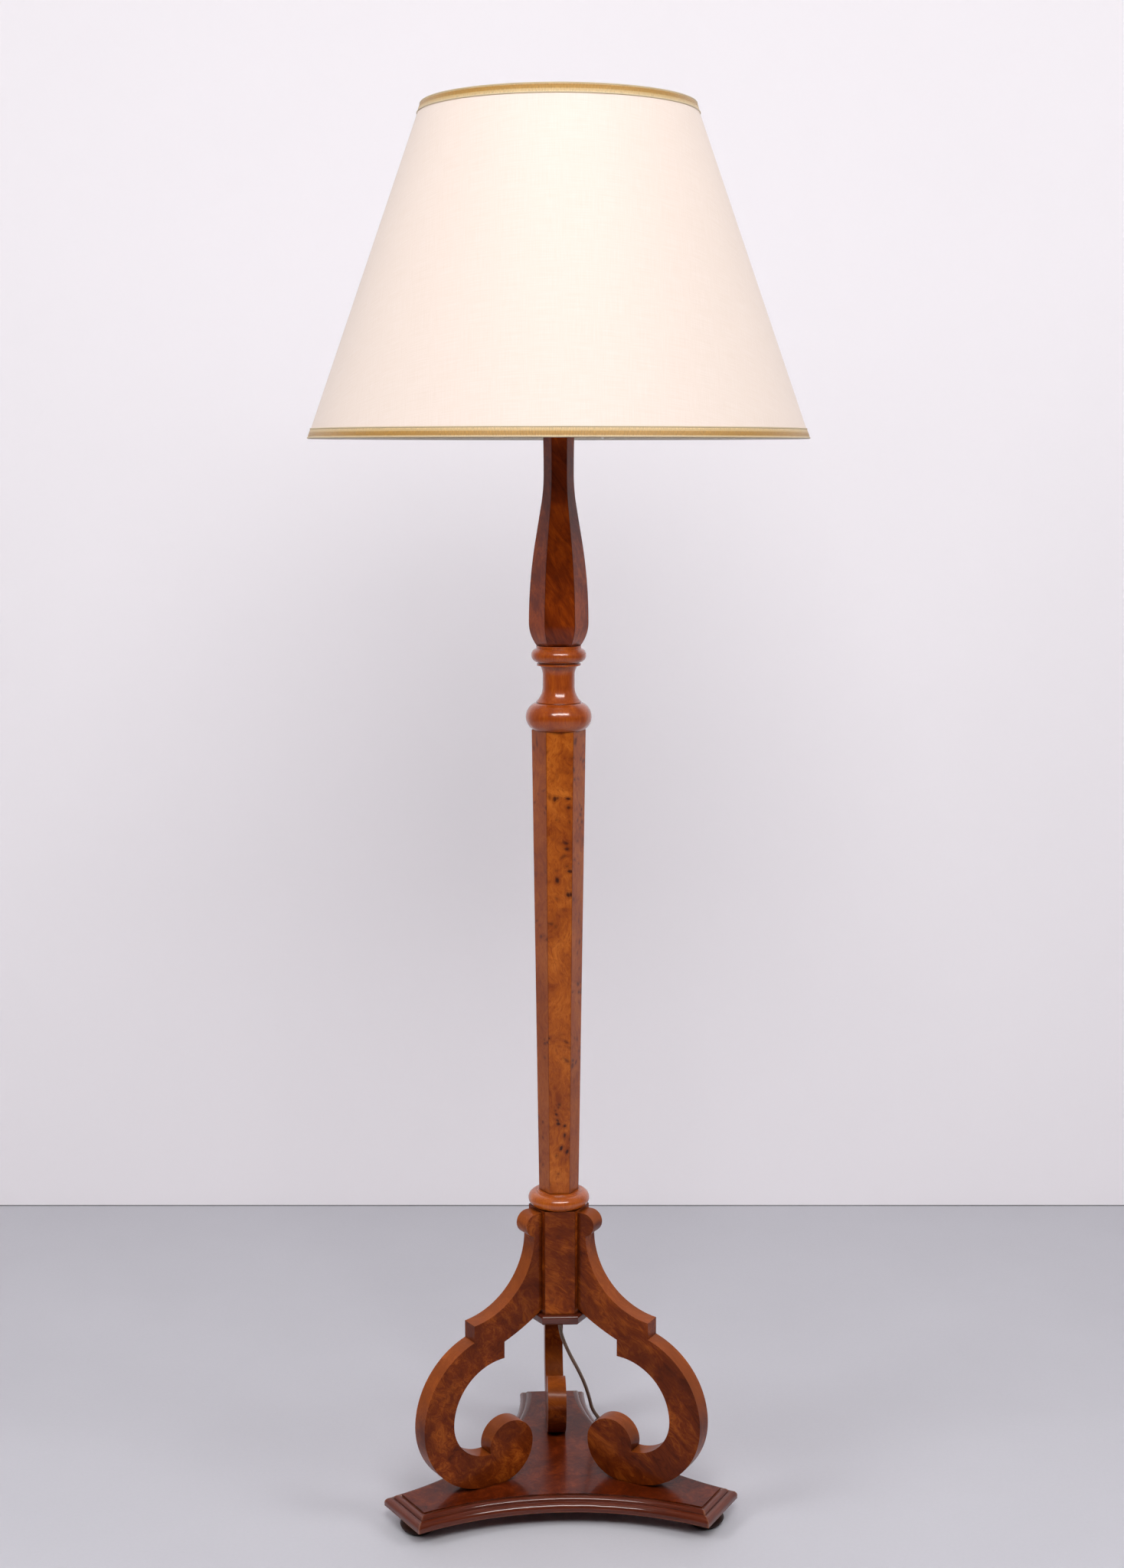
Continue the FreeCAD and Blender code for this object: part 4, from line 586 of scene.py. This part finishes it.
# Shade
SHADE_BOTTOM, SHADE_TOP = 1.338, 1.725
FOOT_RADIUS, HEAD_RADIUS = 0.2992, 0.1615
PANEL_WALL = 0.0012
AROUND = 288


def cone_radius(level):
    return FOOT_RADIUS + (level - SHADE_BOTTOM) / (SHADE_TOP - SHADE_BOTTOM) * (HEAD_RADIUS - FOOT_RADIUS)


def revolve(name, profile, material, body, closed=True, flat=None):
    """Turns a profile of (radius, height) about Z, with a UV map in metres unless flat gives another."""
    verts = []
    for step in range(AROUND):
        turn = 2 * math.pi * step / AROUND
        verts.extend((radius * math.cos(turn), radius * math.sin(turn), height) for radius, height in profile)
    count = len(profile)
    travelled = [0.0]
    for first, second in zip(profile, profile[1:] + profile[:1]):
        travelled.append(travelled[-1] + math.dist(first, second))
    faces, uvs = [], []
    for step in range(AROUND):
        after = (step + 1) % AROUND
        for index in range(count if closed else count - 1):
            other = (index + 1) % count
            faces.append((step * count + index, after * count + index, after * count + other, step * count + other))
            for place, corner, pathway in ((step, index, index), (step + 1, index, index),
                                           (step + 1, other, index + 1), (step, other, index + 1)):
                turn = 2 * math.pi * place / AROUND
                radius, height = profile[corner]
                rolled = (turn * profile[0][0], travelled[pathway])
                uvs.append(flat(turn, radius, height) if flat else rolled)
    return mesh_object(name, verts, faces, material, body, uvs=uvs)


def developed(turn, radius, height):
    """The cone rolled out flat, so threads run straight across the cloth."""
    lean = (FOOT_RADIUS - HEAD_RADIUS) / (SHADE_TOP - SHADE_BOTTOM)
    sine = lean / math.hypot(1, lean)
    slant = radius / sine
    return slant * math.sin(turn * sine), -slant * math.cos(turn * sine)


# Cloth, braid and edging. Pitches are the lengths from one thread to the next, in metres.
WARP_PITCH, WEFT_PITCH = 0.0006, 0.0007
RIB_PITCH, TWIST_PITCH = 0.0011, 0.0013

cloth = Nodes("shade_cloth")
flat = cloth.uv()
x, y, _ = cloth.separate(flat)
warp = cloth.math("SINE", cloth.math("MULTIPLY", x, 2 * math.pi / WARP_PITCH))
weft = cloth.math("SINE", cloth.math("MULTIPLY", y, 2 * math.pi / WEFT_PITCH))
weave = cloth.math("MULTIPLY", cloth.math("ADD", warp, weft), 0.5)
slub = cloth.noise(cloth.mapping(flat, scale=(1, 0.03, 1)), 900, 3, 0.6)
cross_slub = cloth.noise(cloth.mapping(flat, scale=(0.03, 1, 1)), 1100, 3, 0.6)
cloud = cloth.noise(flat, 9, 3, 0.5)
thread = cloth.math("ADD", cloth.math("MULTIPLY", slub, 0.5), cloth.math("MULTIPLY", cross_slub, 0.5))
colour = cloth.ramp(thread, [(0.30, linear(240, 221, 207)), (0.55, linear(245, 228, 217)),
                             (0.75, linear(249, 234, 225))])
colour = cloth.mix(cloth.math("MULTIPLY", cloud, 0.10), colour, linear(240, 217, 201))
cloth.set(Base_Color=colour, Roughness=0.72, Sheen_Weight=0.15, Sheen_Roughness=0.5, Specular_IOR_Level=0.3)
cloth.bump(cloth.math("ADD", weave, cloth.math("MULTIPLY", thread, 1.5)), 0.35, 0.00008)

# How far the braid runs inside the shade before its face begins, and the height of its face.
BRAID_FOLD, BRAID_HEIGHT = 0.0072, 0.0120
braid = Nodes("gold_braid")
u, v, _ = braid.separate(braid.uv())
rib = braid.math("SINE", braid.math("MULTIPLY", u, 2 * math.pi / RIB_PITCH))
strand = braid.noise(braid.mapping(braid.uv(), scale=(1, 0.15, 1)), 1600, 3, 0.6)
band = braid.math("DIVIDE", braid.math("SUBTRACT", v, BRAID_FOLD), BRAID_HEIGHT)
gold = braid.ramp(band, [(0.0, linear(150, 112, 60)), (0.08, linear(160, 120, 66)),
                         (0.14, linear(236, 206, 156)), (0.26, linear(228, 194, 136)),
                         (0.34, linear(188, 136, 52)), (0.66, linear(196, 146, 62)),
                         (0.74, linear(222, 184, 118)), (1.0, linear(236, 206, 156))])
weave_shade = braid.math("ADD", braid.math("MULTIPLY", rib, 0.18), strand)
weave_shade = braid.ramp(weave_shade, [(0.30, 0.55), (0.52, 0.92), (0.75, 1.0)])
gold = braid.mix(1.0, gold, weave_shade, "MULTIPLY")
braid.set(Base_Color=gold, Roughness=0.5, Sheen_Weight=0.4, Sheen_Roughness=0.35, Specular_IOR_Level=0.5)
braid.bump(braid.math("ADD", rib, strand), 0.6, 0.00015)

edging = Nodes("braid_edge")
u, v, _ = edging.separate(edging.uv())
twist = edging.math("SINE", edging.math("MULTIPLY", edging.math("ADD", u, v), 2 * math.pi / TWIST_PITCH))
edge_colour = edging.ramp(twist, [(0.0, linear(196, 172, 132)), (1.0, linear(232, 214, 182))])
edging.set(Base_Color=edge_colour, Roughness=0.6, Sheen_Weight=0.3)
edging.bump(twist, 0.6, 0.00012)

# Rings close to both rims keep the faces' shading even up to the braid.
RIM_STEP = 0.001
SHADE_HEIGHT = SHADE_TOP - SHADE_BOTTOM
panel_levels = [SHADE_BOTTOM, SHADE_BOTTOM + RIM_STEP,
                *(SHADE_BOTTOM + SHADE_HEIGHT * step / 12 for step in range(1, 12)),
                SHADE_TOP - RIM_STEP, SHADE_TOP]
panel_profile = [(cone_radius(level), level) for level in panel_levels]
panel_profile += [(cone_radius(level) - PANEL_WALL, level) for level in reversed(panel_levels)]
shade = revolve("shade_cloth", panel_profile, cloth.material, "shade", flat=developed)
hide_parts("shade_panel")


# The braid's face, its crown, the fold inside the rim, and the cords along its edges, in metres.
FACE_HEIGHT, FACE_LIFT, FACE_CROWN = 0.0115, 0.0004, 0.00035
FOLD_HEIGHT, FOLD_LIFT = 0.006, 0.0003
CORDLET_LIFT, CORDLET_WIDE, CORDLET_HIGH = 0.0006, 0.00065, 0.00085
CORDLET_PLACES = (("low", 0.06), ("high", 0.97))


def ribbon(name, edge_level, upwards, node):
    """Braid folded over a rim: a ribbed face outside, a narrow fold inside, and a fine cord along both edges."""
    sign = 1 if upwards else -1
    outside = []
    for step in range(9):
        share = step / 8
        level = edge_level + sign * FACE_HEIGHT * share
        crown = FACE_CROWN * math.sin(math.pi * share)
        outside.append((cone_radius(level) + FACE_LIFT + crown, level))
    inside = []
    for step in range(5):
        share = 1 - step / 4
        level = edge_level + sign * FOLD_HEIGHT * share
        inside.append((cone_radius(level) - PANEL_WALL - FOLD_LIFT, level))
    brow = (cone_radius(edge_level) - PANEL_WALL / 2, edge_level - sign * FACE_LIFT)
    face = revolve(name, inside + [brow] + outside, braid.material, "shade", closed=False)
    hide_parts(node)
    for part, share in CORDLET_PLACES:
        level = edge_level + sign * FACE_HEIGHT * share
        centre = cone_radius(level) + CORDLET_LIFT
        profile = [(centre + CORDLET_WIDE * math.cos(t), level + CORDLET_HIGH * math.sin(t))
                   for t in (2 * math.pi * k / 10 for k in range(10))]
        cordlet = revolve(f"{name}_{part}_edge", profile, edging.material, "shade")


ribbon("bottom_braid", SHADE_BOTTOM, True, "bottom_trim")
ribbon("top_braid", SHADE_TOP, False, "top_trim")

# Cable, in millimetres
CORD_WIDTH = 4.6
COIL_CENTRE = (42.0, 139.0)
COIL_START = 44.0
COIL_OUTER, COIL_PITCH, COIL_LAYER, COIL_TURNS = 38.4, 5.8, 6.4, 3.5
FLOOR_CLEARANCE = 0.9
COIL_LOW = CORD_WIDTH / 2 + FLOOR_CLEARANCE
DROP = [
    (0.0, 0.0, 233.5), (1.4, 1.0, 214.0), (7.2, 7.0, 194.5), (15.6, 18.0, 172.0), (26.6, 35.0, 145.5),
    (36.6, 55.0, 116.5), (43.8, 77.0, 87.0), (47.8, 93.0, 65.2), (56.6, 99.0, 49.7), (68.8, 97.0, 36.2),
    (84.1, 103.7, 23.7), (92.4, 119.6, 12.8), (91.2, 136.4, 6.0), (80.5, 154.5, 3.2),
]
TAIL = [(24.0, 102.4, 9.2), (28.8, 93.4, 8.2), (33.0, 83.6, 7.2), (39.0, 75.0, 6.85), (47.0, 69.0, 6.85)]


def coil_route():
    """The coil's turns: inwards on the floor, up half a turn, and outwards on top."""
    step = 20
    # A quadratic spline cuts its corners, and this brings it back to the coil's radius.
    swell = 1 / (0.75 + 0.25 * math.cos(math.radians(step)))
    inward = COIL_TURNS * 360
    climb = inward + 180
    whole = climb + inward
    inner = COIL_OUTER - COIL_TURNS * COIL_PITCH
    points = []
    for turn in range(0, int(whole) + 1, step):
        if turn <= inward:
            radius, share = COIL_OUTER - COIL_PITCH * turn / 360, 0.0
        elif turn <= climb:
            radius, share = inner, (turn - inward) / 180
        else:
            radius, share = inner + COIL_PITCH * (turn - climb) / 360, 1.0
        share = share * share * (3 - 2 * share)
        angle = math.radians(COIL_START + turn)
        points.append((COIL_CENTRE[0] + swell * radius * math.cos(angle),
                       COIL_CENTRE[1] + swell * radius * math.sin(angle), COIL_LOW + COIL_LAYER * share))
    return points


cable = Nodes("cable")
fine = cable.noise(cable.coordinates(), 700, 3, 0.6)
cable.set(Base_Color=cable.ramp(fine, [(0.35, linear(104, 80, 62)), (0.65, linear(130, 104, 84))]), Roughness=0.42,
          Specular_IOR_Level=0.4)
cable.bump(fine, 0.25, 0.0001)

cord_data = bpy.data.curves.new("cord", "CURVE")
cord_data.dimensions = "3D"
spline = cord_data.splines.new("NURBS")
route = DROP + coil_route() + TAIL
spline.points.add(len(route) - 1)
for point, place in zip(spline.points, route):
    point.co = (*(part * MM for part in place), 1.0)
spline.order_u = 3
spline.use_endpoint_u = True
spline.resolution_u = 6
cord_data.bevel_depth = CORD_WIDTH / 2 * MM
cord_data.bevel_resolution = 4
cord_data.use_fill_caps = True
cord_data.materials.append(cable.material)
cord = bpy.data.objects.new("cord", cord_data)
bpy.context.scene.collection.objects.link(cord)
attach(cord, "stand")
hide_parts("cord_drop", "cord_coil", "cord_tail")
dress(cable.material, "inner_cord")
dress(plain("plug_plastic", linear(92, 70, 50), 0.45), "plug_body")
dress(plain("plug_metal", linear(205, 205, 205), 0.2, 1.0), "plug_pins")
dress(plain("tie_band", linear(50, 44, 38), 0.6), "coil_tie")
soften(0.003, "plug_body", segments=4)
soften(0.0012, "plug_pins", segments=3)

# Studio
WALL_DISTANCE = 1.074
WALL_GLOW = 0.17
FOOT_SHADE_HEIGHT, FOOT_SHADE_AHEAD = 0.0022, 0.002
STAGE_REACH = 6
STAGE_HEIGHT = 6


def stage_plane(name, corners, material):
    mesh = bpy.data.meshes.new(name)
    mesh.from_pydata(corners, [], [(0, 1, 2, 3)])
    mesh.materials.append(material)
    plane = bpy.data.objects.new(name, mesh)
    bpy.context.scene.collection.objects.link(plane)


def upright_plane(name, middle, height, material):
    """A plane that stands on the floor, square to the camera's direction."""
    side, up = STAGE_REACH * right, Vector((0, 0, height))
    stage_plane(name, [middle - side, middle + side, middle + side + up, middle - side + up], material)


def studio_surface(name, colour, variation, glow=0.0, see_through_back=False):
    """A matt, faintly mottled backdrop. It glows for the eye and for highlights, and lights nothing."""
    tree = Nodes(name)
    mottle = tree.math("ADD", tree.math("MULTIPLY", tree.noise(tree.coordinates(), 3, 4, 0.6), 0.6),
                       tree.math("MULTIPLY", tree.noise(tree.coordinates(), 220, 3, 0.6), 0.4))
    darker, _ = shades(colour, variation)
    tree.set(Base_Color=tree.ramp(mottle, [(0.3, darker), (0.7, colour)]), Roughness=0.8, Specular_IOR_Level=0.2)
    if glow:
        path = tree.tree.nodes.new("ShaderNodeLightPath").outputs
        seen = tree.math("MAXIMUM", path["Is Glossy Ray"], path["Is Transmission Ray"])
        seen = tree.math("MAXIMUM", path["Is Camera Ray"], seen)
        tree.set(Emission_Color=colour, Emission_Strength=tree.math("MULTIPLY", seen, glow))
    if see_through_back:
        clear = tree.tree.nodes.new("ShaderNodeBsdfTransparent")
        choose = tree.tree.nodes.new("ShaderNodeMixShader")
        back = tree.tree.nodes.new("ShaderNodeNewGeometry").outputs["Backfacing"]
        tree.put(choose.inputs[0], back)
        tree.put(choose.inputs[1], tree.shader.outputs[0])
        tree.put(choose.inputs[2], clear.outputs[0])
        tree.put(tree.output.inputs[0], choose.outputs[0])
    return tree.material


stage_plane("floor", [(-STAGE_REACH, -STAGE_REACH, 0), (STAGE_REACH, -STAGE_REACH, 0),
                      (STAGE_REACH, STAGE_REACH, 0), (-STAGE_REACH, STAGE_REACH, 0)],
            studio_surface("studio_floor", linear(217, 216, 223), 0.05))
wall_middle = WALL_DISTANCE * ahead
upright_plane("wall", wall_middle, STAGE_HEIGHT,
              studio_surface("studio_wall", linear(238, 233, 237), 0.015, WALL_GLOW, True))
# Painted shade: a thin darker strip along the foot of the wall, where it meets the floor.
upright_plane("wall_foot_shade", wall_middle - FOOT_SHADE_AHEAD * ahead, FOOT_SHADE_HEIGHT,
              studio_surface("studio_foot_shade", linear(168, 166, 168), 0.35, see_through_back=True))


def area_light(name, place, target, size, power, shines=True, lights=True):
    """A lamp with its size in metres and its power in watts. shines is whether it shows as a highlight,
    lights whether it lights matt surfaces."""
    data = bpy.data.lights.new(name, "AREA")
    data.shape = "RECTANGLE"
    data.size, data.size_y = size
    data.energy = power
    light = bpy.data.objects.new(name, data)
    light.location = place
    light.rotation_euler = (Vector(target) - Vector(place)).to_track_quat("-Z", "Y").to_euler()
    light.visible_camera = False
    light.visible_glossy = shines
    light.visible_diffuse = lights
    bpy.context.scene.collection.objects.link(light)


area_light("key_light", (0.16, -2.35, 2.95), (0, 0, 0.9), (1.7, 0.8), 43, shines=False)
area_light("wide_light", (0.20, -2.55, 2.60), (0, 0, 0.9), (3.6, 0.5), 7)
area_light("soft_shine", (0.20, -2.35, 2.90), (0, 0, 0.9), (3.0, 0.65), 100, lights=False)
area_light("left_light", (-2.2, -1.1, 2.3), (0, 0, 1.4), (1.0, 1.4), 27, shines=False)
area_light("right_light", (2.3, -1.1, 2.2), (0, 0, 1.4), (1.0, 1.4), 23, shines=False)
area_light("top_light", (0, -0.6, 3.4), (0, 0.1, 0), (2.0, 1.6), 9)


ROOM_FRONT, ROOM_BACK = -0.4, 0.6


def dim_room(front_strength, back_strength):
    """A world that is dark behind the camera and lighter behind the lamp."""
    world = bpy.data.worlds.new("studio")
    bpy.context.scene.world = world
    world.use_nodes = True
    tree = world.node_tree
    background = tree.nodes["Background"]
    background.inputs[0].default_value = (0.96, 0.96, 1.0, 1)
    split = tree.nodes.new("ShaderNodeSeparateXYZ")
    tree.links.new(tree.nodes.new("ShaderNodeTexCoord").outputs["Generated"], split.inputs[0])
    strength = tree.nodes.new("ShaderNodeMapRange")
    strength.inputs["From Min"].default_value = ROOM_FRONT
    strength.inputs["From Max"].default_value = ROOM_BACK
    strength.inputs["To Min"].default_value = front_strength
    strength.inputs["To Max"].default_value = back_strength
    tree.links.new(split.outputs["Y"], strength.inputs["Value"])
    tree.links.new(strength.outputs[0], background.inputs[1])


dim_room(0.05, 0.5)
